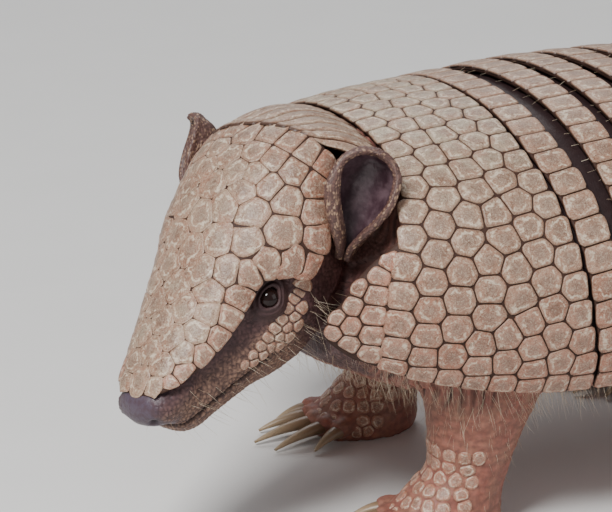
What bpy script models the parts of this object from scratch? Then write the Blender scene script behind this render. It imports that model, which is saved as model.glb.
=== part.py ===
"""A six-banded armadillo at life size, standing with its head lowered and turned to its left.

Metres, +Z up. The animal faces -X and its left side is -Y. The origin is on the ground under
the middle of the animal. Flesh (head, neck, trunk, legs, tail) lies under a hard shell of
separate shields and bands, each its own solid, with a thin clearance wherever two solids meet.
"""

import math

import bmesh
import bpy
import numpy as np
from mathutils import Vector

# ---- driving dimensions -------------------------------------------------------------------
SHELL = 0.0024            # thickness of a shield
CLEAR = 0.0004            # clearance where two solids meet
TUCK = SHELL + 2 * CLEAR  # how far the flesh lies below the outer face of the shell
SHIELD_REAR = -0.115      # x of the rear edge of the scapular shield, the datum of the trunk
EDGE_ANGLE = math.radians(115)  # from the crest of the back down to the lower edge of the shell
MERGE = .00002            # points closer than this are one
ROUNDNESS = 2.2           # exponent of the superellipse sections, 2 is an ellipse
RING = 24                 # divisions of the shell from one lower edge to the other

# The shell's outer face. Distances run rearwards from SHIELD_REAR; heights are above the ground.
SHELL_AT = (-.095, -.075, -.058, -.030, .000, .040, .085, .125, .160, .186, .201, .210, .215)
SHELL_HALF = (.057, .069, .0775, .085, .090, .093, .094, .090, .079, .063, .049, .036, .026)
SHELL_TOP = (.131, .141, .1470, .1505, .152, .154, .153, .148, .137, .123, .110, .097, .086)
SHELL_LOW = (.081, .0745, .0680, .0615, .0585, .0585, .0585, .0585, .060, .063, .066, .069, .072)

# Edges of the scapular shield: degrees from the crest, and how far along the trunk they lie.
# The front one runs forwards beside the cheek, where it ends in a rounded corner.
FRONT_AT = (0, 25, 41, 50, 60, 69, 78, 86, 94, 103, 109, 115)
FRONT_EDGE = (-.054, -.054, -.057, -.061, -.064, -.074, -.081, -.0845, -.089, -.090, -.087, -.079)
REAR_AT = (0, 30, 50, 70, 90, 105, 115)
REAR_EDGE = (-.0065, -.0065, -.0040, -.0010, .0020, .0055, .0060)
NAPE_ANGLE = math.radians(33)    # how far down the shield's front edge the nape band reaches
NAPE_REACH_HEAD = .84     # how far across the head's rear edge it reaches
NAPE_RISE = .0030         # how far the band is arched over the neck
BAND_COUNT = 6
BAND_PLATE = .0125        # length of one band's plates
BAND_START = .0008        # where the first band starts, after the scapular shield
BAND_GAP = .0205          # where the second one starts; the skin between them is stretched
BAND_PITCH = .0170        # from one band to the next, after that
PELVIC_START = BAND_GAP + (BAND_COUNT - 1) * BAND_PITCH
PELVIC_END = .2095
PELVIC_SWEEP = .034       # how far forward the lower rear corner of the pelvic shield lies
BAND_LIFT = .0008         # how far a band's rear edge stands over the next one

# The head, in its own frame: along the head from the back of its shield, left, and up.
HEAD_BACK = Vector((-.2083, -.0118, .1508))
HEAD_TURN = math.radians(28.8)   # towards the animal's left
HEAD_DROP = math.radians(43.8)   # nose down
HEAD_TILT = math.radians(10.2)   # crown leaning towards the animal's left
HEAD_AT = (-.008, .004, .014, .024, .034, .044, .050, .056, .068, .080, .092, .101, .1085)
HEAD_HALF = (.0260, .0300, .0320, .0336, .0350, .0336, .0280, .0248, .0231, .0206, .0172, .0140, .0102)
HEAD_CREST = (-.0044, .002, .005, .006, .0054, .0038, .0026, .0012, -.0008, -.0022, -.0036, -.0050, -.0070)
HEAD_EDGE = (-.0128, -.0150, -.0182, -.0229, -.0272, -.0260, -.0180, -.0140, -.0150, -.0152, -.0128, -.0098, -.0090)
HEAD_REAR = -.0034        # rear edge of the head shield on the crest
HEAD_REAR_BOW = .0055     # how much further forward that edge lies at its corners
HEAD_FRONT = .1085        # front edge on the crest
HEAD_FRONT_BOW = .0060    # how much further back that edge lies at its corners
HEAD_COLUMNS = 14

# Cheeks and jaw, below the head shield.
FACE_AT = (-.002, .016, .034, .048, .058, .068, .080, .094, .104, .1100)
CHEEK_HALF = (.0255, .0300, .0330, .0325, .0296, .0255, .0208, .0168, .0140, .0116)
CHIN = (-.050, -.0565, -.0605, -.0615, -.0605, -.0565, -.0480, -.0410, -.0365, -.0305)
FACE_TUCK = .0044         # how far the flesh lies under the outer face of the head shield
EYE_AT = Vector((.0556, .0215, -.0226))
EYE_RADIUS = .0044
NOSE_AT = Vector((.1071, 0, -.0145))
NOSE_RADII = Vector((.0093, .0138, .0082))

# An ear: a funnel on an axis from its root to its tip, opening forwards and outwards.
EAR_ROOT = Vector((.0256, .0335, -.0345))
EAR_TIP_LEFT = Vector((.0018, .0510, -.0092))
EAR_TIP_RIGHT = Vector((-.0070, .0500, -.0100))   # laid further back than the left one
EAR_OPENS = Vector((.70, .52, .48))
EAR_AT = (0, .18, .40, .62, .80, .93, 1)
EAR_RADIUS = (.0036, .0060, .0094, .0114, .0108, .0074, .0030)
EAR_WRAP = (150, 140, 128, 112, 88, 62, 40)   # degrees that the funnel wraps to each side
EAR_WALL = .0014

# Legs. A station is (height, x, y, half length fore and aft, half width).
FORE_LEG = (
    (.078, .004, .046, .026, .019),
    (.062, .001, .0515, .0262, .0200),
    (.048, -.001, .0525, .0215, .0180),
    (.036, -.003, .0520, .0180, .0160),
    (.024, -.005, .0515, .0158, .0148),
    (.014, -.011, .0510, .0190, .0160),
    (.006, -.015, .0510, .0232, .0172),
    (.000, -.015, .0510, .0215, .0160),
)
HIND_LEG = (
    (.082, .000, .046, .036, .019),
    (.064, .000, .0485, .0330, .0190),
    (.050, .004, .0520, .0270, .0190),
    (.038, .010, .0530, .0205, .0170),
    (.027, .012, .0530, .0175, .0150),
    (.016, .005, .0530, .0265, .0158),
    (.007, -.004, .0530, .0370, .0172),
    (.000, -.005, .0530, .0350, .0158),
)
ANKLE = 4                 # the station where a leg is parted from its foot
LEG_SIDES = 12
# Where each leg stands: the x of its own zero and its side, -1 for the left.
FORE_LEFT = (-.1365, -1)
FORE_RIGHT = (-.1180, 1)
HIND_LEFT = (.0310, -1)
HIND_RIGHT = (.0130, 1)
FORE_CLAWS = (.012, .021, .023, .018, .011)    # thumb side first
HIND_CLAWS = (.010, .013, .014, .013, .010)
CLAW_ROOT = .0030         # radius of a claw where it leaves its toe

# The tail: (x, y, height, radius) stations; it leaves the rump under the rear edge of the shield.
TAIL = (
    (.0700, 0, .0650, .0175), (.0880, 0, .0640, .0170), (.1080, .001, .0590, .0152),
    (.1320, .003, .0500, .0132), (.1560, .006, .0410, .0115), (.1800, .009, .0335, .0097),
    (.2020, .011, .0283, .0082), (.2230, .012, .0253, .0067), (.2430, .011, .0245, .0051),
    (.2600, .009, .0258, .0035), (.2705, .007, .0275, .0018),
)
TAIL_PARTS = (0, 4, 7, 10)  # stations where one length of the tail meets the next
TAIL_SIDES = 12

BELLY = .0450             # height of the belly above the ground
TRUNK_FRONT = -.050       # the trunk is parted from the neck here, under the shield
TRUNK_REAR = .199
TRUNK_STEPS = (0, .20, .45, .65, .78, .86, .92, .96, 1)
BELLY_SIDES = 8
NECK_TIP = Vector((-.2020, -.0140, .1145))  # where the neck ends, inside the head
NECK_TIP_HALF = .0225

SKIN = (.32, .19, .18)
PLATE = (.62, .50, .40)
HORN = (.45, .38, .28)
DARK = (.10, .07, .08)


# ---- shape functions ----------------------------------------------------------------------
def smooth(at, stations, values):
    """A monotone cubic through the stations, so that a profile never overshoots its values."""
    xs, ys = np.asarray(stations, float), np.asarray(values, float)
    at = np.clip(float(at), xs[0], xs[-1])
    step = np.diff(xs)
    rise = np.diff(ys) / step
    slope = np.zeros_like(ys)
    slope[0], slope[-1] = rise[0], rise[-1]
    for i in range(1, len(xs) - 1):
        if rise[i - 1] * rise[i] > 0:
            before, after = 2 * step[i] + step[i - 1], step[i] + 2 * step[i - 1]
            slope[i] = (before + after) / (before / rise[i - 1] + after / rise[i])
    i = int(np.clip(np.searchsorted(xs, at) - 1, 0, len(step) - 1))
    t = (at - xs[i]) / step[i]
    return float(
        ys[i] * (1 + 2 * t) * (1 - t) ** 2
        + slope[i] * step[i] * t * (1 - t) ** 2
        + ys[i + 1] * t * t * (3 - 2 * t)
        + slope[i + 1] * step[i] * t * t * (t - 1)
    )


def power(value, exponent=2 / ROUNDNESS):
    """The value raised to the exponent with its sign kept."""
    return math.copysign(abs(value) ** exponent, value)


def shell_section(along):
    """(half width, centre height, height above the centre) of the shell's outer face."""
    top = smooth(along, SHELL_AT, SHELL_TOP)
    low = smooth(along, SHELL_AT, SHELL_LOW)
    rise = (top - low) / (1 - power(math.cos(EDGE_ANGLE)))
    return smooth(along, SHELL_AT, SHELL_HALF), top - rise, rise


def shell_point(along, angle, out=0.0):
    """A point on the shell: angle is from the crest, positive to the left; out is outwards."""
    half, centre, rise = shell_section(along)
    return Vector((
        SHIELD_REAR + along,
        -(half + out) * power(math.sin(angle)),
        centre + (rise + out) * power(math.cos(angle)),
    ))


def shield_front(angle):
    """Front edge of the scapular shield."""
    return smooth(math.degrees(abs(angle)), FRONT_AT, FRONT_EDGE)


def shield_rear(angle):
    """Rear edge of the scapular shield, further back at its lower corners."""
    return smooth(math.degrees(abs(angle)), REAR_AT, REAR_EDGE)


def band_start(number, angle):
    """Front edge of a band. Each lies as the scapular shield's edge does, and less so further back."""
    if number == 0:
        return shield_rear(angle) + BAND_START
    ease = 1 - number / BAND_COUNT
    return BAND_GAP + (number - 1) * BAND_PITCH + ease * (shield_rear(angle) - REAR_EDGE[-1]) * .5


def pelvic_rear(angle):
    """Rear edge of the pelvic shield, drawn forward at its lower corners."""
    return PELVIC_END - PELVIC_SWEEP * abs(angle / EDGE_ANGLE) ** 2.4


def head_axes():
    """The head's (forward, left, up) directions."""
    forward = Vector((
        -math.cos(HEAD_DROP) * math.cos(HEAD_TURN),
        -math.cos(HEAD_DROP) * math.sin(HEAD_TURN),
        -math.sin(HEAD_DROP),
    ))
    level = Vector((math.sin(HEAD_TURN), -math.cos(HEAD_TURN), 0))
    crown = forward.cross(level)
    left = level * math.cos(HEAD_TILT) + crown * math.sin(HEAD_TILT)
    return forward, left, crown * math.cos(HEAD_TILT) - level * math.sin(HEAD_TILT)


def from_head(point):
    """The place of a point given in the head's own frame."""
    forward, left, up = head_axes()
    return HEAD_BACK + forward * point[0] + left * point[1] + up * point[2]


def head_shield_point(along, across, out=0.0):
    """A point on the head shield; across runs from -1 at its right edge to 1 at its left."""
    half = smooth(along, HEAD_AT, HEAD_HALF)
    crest = smooth(along, HEAD_AT, HEAD_CREST)
    edge = smooth(along, HEAD_AT, HEAD_EDGE)
    angle = across * math.pi / 2
    return from_head((
        along,
        (half + out) * power(math.sin(angle)),
        edge + (crest - edge + out) * power(math.cos(angle)),
    ))


def head_rear(across):
    """How far along the head the rear edge of its shield lies."""
    return HEAD_REAR + HEAD_REAR_BOW * across ** 2


def head_front(across):
    """How far along the head the front edge of its shield lies."""
    return HEAD_FRONT - HEAD_FRONT_BOW * across ** 2


def cheek_point(along, turn, side, out=0.0):
    """A point of cheek or jaw: turn runs from 0 at the shield's edge to 1 under the chin."""
    start = smooth(along, HEAD_AT, HEAD_HALF) - FACE_TUCK
    edge = smooth(along, HEAD_AT, HEAD_EDGE)
    cheek = smooth(along, FACE_AT, CHEEK_HALF)
    chin = smooth(along, FACE_AT, CHIN)
    ease = min(1.0, turn * 3)
    width = start + (cheek - start) * ease * ease * (3 - 2 * ease) + out
    angle = turn * math.pi / 2
    return from_head((
        along,
        side * width * power(math.cos(angle)),
        edge + (chin - edge - out) * power(math.sin(angle)),
    ))


def face_ring(along, out=0.0):
    """One section of the head's flesh: under the shield above, cheeks and jaw below."""
    upper = [head_shield_point(along, s, out - FACE_TUCK) for s in np.linspace(-1, 1, HEAD_COLUMNS // 2 + 1)]
    turns = np.linspace(0, 1, 8)[1:]
    left = [cheek_point(along, t, 1, out) for t in turns]
    right = [cheek_point(along, t, -1, out) for t in turns[-2::-1]]
    return upper + left + right


def nape_point(across, t, out=0.0):
    """The nape: t runs from the head shield's rear edge to the scapular shield's front edge."""
    head = head_shield_point(head_rear(across) - .0026, across * NAPE_REACH_HEAD, -.0006)
    body = shell_point(shield_front(NAPE_ANGLE * across) - .0016, NAPE_ANGLE * across, -.0006)
    rise = Vector((-.35, 0, 1)).normalized() * NAPE_RISE * math.sin(math.pi * t)
    return head.lerp(body, t) + rise * (1 - .5 * across ** 2) + Vector((0, -across, 1)).normalized() * out


# ---- mesh makers --------------------------------------------------------------------------
def collection(name):
    """A new collection in the scene."""
    made = bpy.data.collections.new(name)
    bpy.context.scene.collection.children.link(made)
    return made


def paint(name, colour, roughness):
    """A Principled material of one colour."""
    made = bpy.data.materials.new(name)
    made.use_nodes = True
    shader = made.node_tree.nodes["Principled BSDF"]
    shader.inputs["Base Color"].default_value = (*colour, 1)
    shader.inputs["Roughness"].default_value = roughness
    shader.inputs["Metallic"].default_value = 0
    return made


def mesh_object(name, points, faces, material, group):
    """One object from points and faces, with its normals pointing outwards."""
    mesh = bpy.data.meshes.new(name)
    mesh.from_pydata([tuple(p) for p in points], [], faces)
    work = bmesh.new()
    work.from_mesh(mesh)
    bmesh.ops.remove_doubles(work, verts=work.verts, dist=MERGE)
    bmesh.ops.recalc_face_normals(work, faces=work.faces)
    work.to_mesh(mesh)
    work.free()
    mesh.materials.append(material)
    mesh.shade_smooth()
    obj = bpy.data.objects.new(name, mesh)
    group.objects.link(obj)
    return obj


def signed_volume(obj):
    """The volume of a closed mesh, negative where its faces point inwards."""
    work = bmesh.new()
    work.from_mesh(obj.data)
    volume = work.calc_volume(signed=True)
    work.free()
    return volume


def loft(name, rings, material, group):
    """A closed solid through rings of equal count, with a fan over each end."""
    count = len(rings[0])
    points = [p for ring in rings for p in ring]
    faces = []
    for r in range(len(rings) - 1):
        for i in range(count):
            j = (i + 1) % count
            faces.append((r * count + i, r * count + j, (r + 1) * count + j, (r + 1) * count + i))
    for start in (0, (len(rings) - 1) * count):
        points.append(sum(points[start:start + count], Vector()) / count)
        hub = len(points) - 1
        faces += [(start + i, start + (i + 1) % count, hub) for i in range(count)]
    obj = mesh_object(name, points, faces, material, group)
    if signed_volume(obj) < 0:
        obj.data.flip_normals()
    return obj


def plate(name, rows, material, group, inside, thickness=SHELL):
    """An open surface of rows of points, made thick on the side of the point inside."""
    width = len(rows[0])
    points = [p for row in rows for p in row]
    faces = [
        (r * width + i, r * width + i + 1, (r + 1) * width + i + 1, (r + 1) * width + i)
        for r in range(len(rows) - 1)
        for i in range(width - 1)
    ]
    obj = mesh_object(name, points, faces, material, group)
    face = obj.data.polygons[len(faces) // 2]
    if face.normal.dot(face.center - inside) < 0:
        obj.data.flip_normals()
    solid = obj.modifiers.new("thickness", "SOLIDIFY")
    solid.thickness = thickness
    solid.offset = -1
    solid.use_even_offset = True
    return obj


def boolean(obj, operation, others):
    """Joins the other objects to this one, or takes them away from it."""
    for other in others:
        other.hide_render = True
        other.display_type = "WIRE"
        modifier = obj.modifiers.new(operation.lower() + " " + other.name, "BOOLEAN")
        modifier.operation = operation
        modifier.object = other


def tube(name, stations, sides, material, group, across=Vector((0, 1, 0))):
    """A closed limb through stations of (centre, half width, half depth)."""
    rings = []
    for i, (centre, width, depth) in enumerate(stations):
        run = (stations[min(i + 1, len(stations) - 1)][0] - stations[max(i - 1, 0)][0]).normalized()
        side = (across - run * across.dot(run)).normalized()
        through = run.cross(side)
        turns = [2 * math.pi * k / sides for k in range(sides)]
        rings.append([centre + side * width * math.cos(a) + through * depth * math.sin(a) for a in turns])
    return loft(name, rings, material, group)


# ---- the shell ----------------------------------------------------------------------------
def shell_angles():
    """The angles of the shell's columns, from its right lower edge to its left."""
    return [EDGE_ANGLE * (2 * i / RING - 1) for i in range(RING + 1)]


def scapular_shield(material, group):
    """The shield over the shoulders, with its front corners beside the cheeks."""
    rows = []
    for t in np.linspace(0, 1, 6):
        row = []
        for a in shell_angles():
            front, rear = shield_front(a), shield_rear(a)
            row.append(shell_point(front + (rear - front) * t, a))
        rows.append(row)
    return plate("scapular_shield", rows, material, group, Vector((SHIELD_REAR, 0, .09)))


def band(number, material, group):
    """One movable band, its rear edge standing a little over the next."""
    rows = [
        [shell_point(band_start(number, a) + BAND_PLATE * t, a, BAND_LIFT * t) for a in shell_angles()]
        for t in (0, 1)
    ]
    middle = Vector((SHIELD_REAR + band_start(number, 0), 0, .09))
    return plate(f"band_{number + 1}", rows, material, group, middle)


def pelvic_shield(material, group):
    """The shield over hips and rump, its lower rear corners drawn forward beside the tail."""
    rows = []
    for t in (0, .22, .44, .62, .77, .88, .95, 1):
        row = []
        for a in shell_angles():
            row.append(shell_point(PELVIC_START + (pelvic_rear(a) - PELVIC_START) * t, a))
        rows.append(row)
    return plate("pelvic_shield", rows, material, group, Vector((SHIELD_REAR + PELVIC_START, 0, .09)))


def head_shield(material, group, name="head_shield", out=0.0):
    """The shield over crown and muzzle."""
    rows = []
    for t in (0, .10, .21, .31, .39, .45, .50, .56, .67, .79, .90, 1):
        row = []
        for s in np.linspace(-1, 1, HEAD_COLUMNS + 1):
            rear, front = head_rear(s) - out, head_front(s) + out
            row.append(head_shield_point(rear + (front - rear) * t, s * (1 + 10 * out), out))
        rows.append(row)
    return plate(name, rows, material, group, from_head((.04, 0, -.03)), SHELL + 2 * out)


def nape_band(material, group, name="nape_band", out=0.0):
    """The single row of long plates across the nape, between the ears."""
    reach, margin = 1 + 25 * out, .04 - 35 * out
    rows = [
        [nape_point(s, t, out) for s in np.linspace(-reach, reach, 11)]
        for t in (margin, .35, .65, 1 - margin)
    ]
    return plate(name, rows, material, group, HEAD_BACK + Vector((.02, .01, -.05)), SHELL + 2 * out)


# ---- flesh --------------------------------------------------------------------------------
def trunk_ring(along):
    """One section of the trunk: under the shell above, the belly below."""
    inset = TUCK * (1 + 1.1 * max(0.0, (along - .12) / .08) ** 1.2)
    upper = [shell_point(along, a, -inset) for a in shell_angles()]
    edge = upper[-1]
    belly = BELLY + .012 * max(0.0, (along - .15) / .05) ** 2 + .006 * max(0.0, -along / .05) ** 2
    lower = []
    for i in range(1, BELLY_SIDES):
        angle = math.pi * i / BELLY_SIDES
        lower.append(Vector((
            edge.x,
            (edge.y + .004) * power(math.cos(angle)),
            edge.z - (edge.z - belly) * power(math.sin(angle)),
        )))
    return upper + lower


def trunk(material, group):
    """The body under the shell, and the belly."""
    stations = [TRUNK_FRONT + (TRUNK_REAR - TRUNK_FRONT) * t for t in TRUNK_STEPS]
    return loft("trunk", [trunk_ring(a) for a in stations], material, group)


def neck(material, group, name="neck", out=0.0):
    """The neck, from the trunk under the shield to the back of the head."""
    root = trunk_ring(TRUNK_FRONT - CLEAR)
    hub = sum(root, Vector()) / len(root)
    left = head_axes()[1]
    rings = []
    for t in (0, .12, .26, .42, .60, .80, 1):
        narrow = 1 - (1 - max(0.0, t - .09) / .91) ** 2
        ring = []
        for p in root:
            angle = math.atan2(hub.y - p.y, p.z - hub.z)
            tip = NECK_TIP + (left * math.sin(angle) + Vector((0, 0, math.cos(angle)))) * NECK_TIP_HALF
            start = hub + (p - hub) * (1 + 14 * out)
            ring.append(Vector((
                start.x + (tip.x - start.x) * t,
                start.y + (tip.y - start.y) * narrow,
                start.z + (tip.z - start.z) * narrow,
            )))
        rings.append(ring)
    return loft(name, rings, material, group)


def head(material, group, name="head", out=0.0):
    """The head's flesh, under its shield and below it."""
    stops = [-.0010 - out, .012, .024, .034, .043, .050, .057, .067, .080, .094, .104, .1085 + out]
    return loft(name, [face_ring(a, out) for a in stops], material, group)


def ball(name, centre, radii, material, group, segments=12, rings=8):
    """An ellipsoid lying along the head's own directions."""
    bpy.ops.mesh.primitive_uv_sphere_add(segments=segments, ring_count=rings, radius=1)
    obj = bpy.context.object
    obj.name = name
    for old in obj.users_collection:
        old.objects.unlink(obj)
    group.objects.link(obj)
    for vertex in obj.data.vertices:
        vertex.co = from_head([centre[k] + vertex.co[k] * radii[k] for k in range(3)])
    if signed_volume(obj) < 0:
        obj.data.flip_normals()
    obj.data.materials.append(material)
    obj.data.shade_smooth()
    return obj


def ear(side, material, group):
    """An ear's funnel: side is 1 for the left ear and -1 for the right."""
    mirror = Vector((1, side, 1))
    tip = (EAR_TIP_LEFT if side > 0 else EAR_TIP_RIGHT) * mirror
    root, opens = EAR_ROOT * mirror, EAR_OPENS * mirror
    axis = (tip - root).normalized()
    opens = (opens - axis * opens.dot(axis)).normalized()
    across = axis.cross(opens)
    rows = []
    for t in np.linspace(0, 1, 9):
        radius = smooth(t, EAR_AT, EAR_RADIUS)
        wrap = math.radians(smooth(t, EAR_AT, EAR_WRAP))
        row = []
        for v in np.linspace(-1, 1, 10):
            turn = across * math.sin(wrap * v) - opens * math.cos(wrap * v)
            row.append(from_head(root + (tip - root) * t + turn * radius))
        rows.append(row)
    inside = from_head(root.lerp(tip, .5))
    return plate("ear_left" if side > 0 else "ear_right", rows, material, group, inside, EAR_WALL)


def leg_rings(stations, stand, out=0.0):
    """Level rings through a leg's stations, from the top down."""
    x, side = stand
    turns = [2 * math.pi * k / LEG_SIDES for k in range(LEG_SIDES)]
    return [
        [
            Vector((x + dx + (length + out) * math.cos(a), side * (y + (width + out) * math.sin(a)), z))
            for a in turns
        ]
        for z, dx, y, length, width in stations
    ]


def leg(name, stations, stand, material, group):
    """A leg from inside the trunk down to its foot."""
    rings = leg_rings(stations, stand)[:ANKLE + 1]
    rings[-1] = [p + Vector((0, 0, CLEAR)) for p in rings[-1]]
    return loft(name, rings, material, group)


def leg_pocket(name, stations, stand, material, group):
    """The room that a leg takes out of the trunk."""
    rings = leg_rings(stations, stand, CLEAR)[:ANKLE]
    rings[0] = [p + Vector((0, 0, CLEAR)) for p in rings[0]]
    return loft(name, rings, material, group)


def foot(name, stations, stand, claws, material, group, cutters):
    """A foot with a flat sole, and five claws that end just above the ground."""
    made = loft(name, leg_rings(stations, stand)[ANKLE:], material, group)
    x, side = stand
    _, dx, y, length, width = stations[-2]
    middle = (len(claws) - 1) / 2
    parts = []
    for k, reach in enumerate(claws):
        spread = (k - middle) / middle
        heading = Vector((-math.cos(.35 * spread), side * math.sin(.35 * spread), 0))
        root = Vector((
            x + dx - length * (.80 - .22 * spread ** 2),
            side * (y + width * .72 * spread),
            CLAW_ROOT * 2.0,
        ))
        toe = root + heading * length * .26
        stations_of_claw = [
            (root, CLAW_ROOT, CLAW_ROOT),
            (toe, CLAW_ROOT, CLAW_ROOT),
            (toe + heading * reach * .55 + Vector((0, 0, -CLAW_ROOT * .3)), CLAW_ROOT * .72, CLAW_ROOT * .72),
            (toe + heading * reach + Vector((0, 0, -CLAW_ROOT * 1.5)), CLAW_ROOT * .2, CLAW_ROOT * .2),
        ]
        parts.append(tube(f"{name}_claw_{k + 1}", stations_of_claw, 6, material, cutters))
    boolean(made, "UNION", parts)
    return made


def tail_rings(out=0.0):
    """The rings of the whole tail, and the direction that it runs in at each."""
    rings, runs = [], []
    centres = [Vector(station[:3]) for station in TAIL]
    for i, station in enumerate(TAIL):
        run = (centres[min(i + 1, len(TAIL) - 1)] - centres[max(i - 1, 0)]).normalized()
        side = Vector((0, 1, 0)) - run * run.y
        side.normalize()
        through = run.cross(side)
        turns = [2 * math.pi * k / TAIL_SIDES for k in range(TAIL_SIDES)]
        radius = station[3] + out
        rings.append([centres[i] + (side * math.cos(a) + through * math.sin(a)) * radius for a in turns])
        runs.append(run)
    return rings, runs


def tail(number, material, group):
    """One length of the tail."""
    rings, runs = tail_rings()
    first, last = TAIL_PARTS[number], TAIL_PARTS[number + 1]
    chosen = rings[first:last + 1]
    if number > 0:
        chosen[0] = [p + runs[first] * CLEAR for p in chosen[0]]
    return loft(f"tail_{number + 1}", chosen, material, group)


def tail_pocket(material, group):
    """The room that the root of the tail takes out of the trunk."""
    rings, runs = tail_rings(CLEAR)
    chosen = rings[:3]
    chosen[0] = [p - runs[0] * CLEAR for p in chosen[0]]
    return loft("tail_pocket", chosen, material, group)


def main():
    """Builds the whole animal."""
    for obj in list(bpy.data.objects):
        bpy.data.objects.remove(obj)
    parts, cutters = collection("armadillo"), collection("cutters")
    plates, skin = paint("plates", PLATE, .5), paint("skin", SKIN, .6)
    dark, wet = paint("dark skin", DARK, .45), paint("eyes", DARK, .05)

    scapular_shield(plates, parts)
    for number in range(BAND_COUNT):
        band(number, plates, parts)
    pelvic_shield(plates, parts)
    head_shield(plates, parts)
    nape_band(plates, parts)

    legs = {
        "fore_left": (FORE_LEG, FORE_LEFT, FORE_CLAWS),
        "fore_right": (FORE_LEG, FORE_RIGHT, FORE_CLAWS),
        "hind_left": (HIND_LEG, HIND_LEFT, HIND_CLAWS),
        "hind_right": (HIND_LEG, HIND_RIGHT, HIND_CLAWS),
    }
    pockets = [tail_pocket(skin, cutters)]
    for name, (stations, stand, claws) in legs.items():
        leg(f"leg_{name}", stations, stand, skin, parts)
        foot(f"foot_{name}", stations, stand, claws, skin, parts, cutters)
        pockets.append(leg_pocket(f"pocket_{name}", stations, stand, skin, cutters))
    boolean(trunk(skin, parts), "DIFFERENCE", pockets)
    for number in range(len(TAIL_PARTS) - 1):
        tail(number, skin, parts)

    head_room = head(skin, cutters, "head_room", CLEAR)
    shield_room = head_shield(skin, cutters, "shield_room", CLEAR)
    nape_room = nape_band(skin, cutters, "nape_room", CLEAR)
    neck_room = neck(skin, cutters, "neck_room", CLEAR)
    nose_room = ball("nose_room", NOSE_AT, NOSE_RADII + Vector((CLEAR,) * 3), skin, cutters)
    boolean(ball("nose", NOSE_AT, NOSE_RADII, dark, parts), "DIFFERENCE", [shield_room])
    rooms = [nose_room]
    for side, name in ((1, "left"), (-1, "right")):
        centre = EYE_AT * Vector((1, side, 1))
        ball(f"eye_{name}", centre, (EYE_RADIUS,) * 3, wet, parts)
        rooms.append(ball(f"eye_room_{name}", centre, (EYE_RADIUS + CLEAR,) * 3, skin, cutters))
        boolean(ear(side, dark, parts), "DIFFERENCE", [neck_room, head_room])
    boolean(head(skin, parts), "DIFFERENCE", rooms)
    fore_pockets = [cutters.objects[f"pocket_fore_{side}"] for side in ("left", "right")]
    boolean(neck(skin, parts), "DIFFERENCE", [head_room, shield_room, nape_room] + fore_pockets)


main()
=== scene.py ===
"""A six-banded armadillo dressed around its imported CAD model.

Metres, +Z up. The animal faces -X and its left side is -Y. Every shield and band becomes a dark
horny base with a pavement of separate plates on it, and one wrinkled skin covers the flesh.
"""

import logging
import math
from dataclasses import dataclass, field
from enum import Enum
from typing import Callable, ClassVar, Iterable, Sequence

import bmesh
import bpy
import numpy as np
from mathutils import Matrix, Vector


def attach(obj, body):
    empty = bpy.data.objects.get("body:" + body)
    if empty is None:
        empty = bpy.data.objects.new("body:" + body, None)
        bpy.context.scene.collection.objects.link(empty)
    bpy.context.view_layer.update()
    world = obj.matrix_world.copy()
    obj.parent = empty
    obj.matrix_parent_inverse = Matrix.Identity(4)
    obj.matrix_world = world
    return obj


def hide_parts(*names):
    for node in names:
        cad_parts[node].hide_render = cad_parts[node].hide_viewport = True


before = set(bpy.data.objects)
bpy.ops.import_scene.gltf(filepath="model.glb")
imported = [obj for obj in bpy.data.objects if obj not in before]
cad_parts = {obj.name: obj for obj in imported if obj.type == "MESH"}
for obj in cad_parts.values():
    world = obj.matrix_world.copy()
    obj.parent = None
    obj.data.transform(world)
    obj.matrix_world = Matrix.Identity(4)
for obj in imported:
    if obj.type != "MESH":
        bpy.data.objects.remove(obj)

log = logging.getLogger("armadillo")
Array = np.ndarray
Pair = tuple[float, float]
Triple = tuple[float, float, float]    # a place, a direction or three radii
Colour = Triple
Curve = Callable[[Array], Array]
Socket = bpy.types.NodeSocket
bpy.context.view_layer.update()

MM = .001
SHELL_THICKNESS = 2.4 * MM
CLEARANCE = .4 * MM
FLESH_TUCK = SHELL_THICKNESS + 2 * CLEARANCE   # how far the flesh lies under the shell's outer face
ROUNDNESS = 2.2                                # exponent of the superellipse sections
OUT_OF_REACH = 9.0                             # farther than anything here lies from anything else
SHELL_STATIONS = (-.095, -.075, -.058, -.030, .000, .040, .085, .125, .160, .186, .201, .210, .215)
HEAD_STATIONS = (-.008, .004, .014, .024, .034, .044, .050, .056, .068, .080, .092, .101, .1085)
JAW_STATIONS = (-.002, .016, .034, .048, .058, .068, .080, .094, .104, .1100)


# ---- numbers ------------------------------------------------------------------------------
def unit(vectors: Array) -> Array:
    """The vectors at length one."""
    return vectors / np.maximum(np.linalg.norm(vectors, axis=-1, keepdims=True), 1e-12)


def dot(one: Array, other: Array) -> Array:
    """The dot product along the last axis."""
    return np.sum(one * other, axis=-1)


def power(value: Array, exponent: float = 2 / ROUNDNESS) -> Array:
    """The value raised to the exponent with its sign kept."""
    return np.sign(value) * np.abs(value) ** exponent


def ramp(value: Array, low: float, high: float) -> Array:
    """A smooth step from 0 at low to 1 at high, which may also run downwards."""
    t = np.clip((value - low) / (high - low), 0, 1)
    return t * t * (3 - 2 * t)


def norm(vectors: Array) -> Array:
    """The vectors' lengths."""
    return np.linalg.norm(vectors, axis=-1)


def bell(value: Array, width: float) -> Array:
    """1 where the value is 0, falling to nothing beyond the width."""
    return np.exp(-(value / width) ** 2)


def ridges(phase: Array, sharp: float) -> Array:
    """Round crests from 0 to 1 with a trough at each whole number."""
    return np.abs(np.sin(math.pi * phase)) ** sharp


def travelled(points: Array) -> Array:
    """How far along a line each of its points lies."""
    return np.concatenate([[0], np.cumsum(norm(np.diff(points, axis=0)))])


def circle(count: int) -> Array:
    """Angles evenly spaced round a circle."""
    return np.linspace(0, 2 * math.pi, count, endpoint=False)


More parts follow.
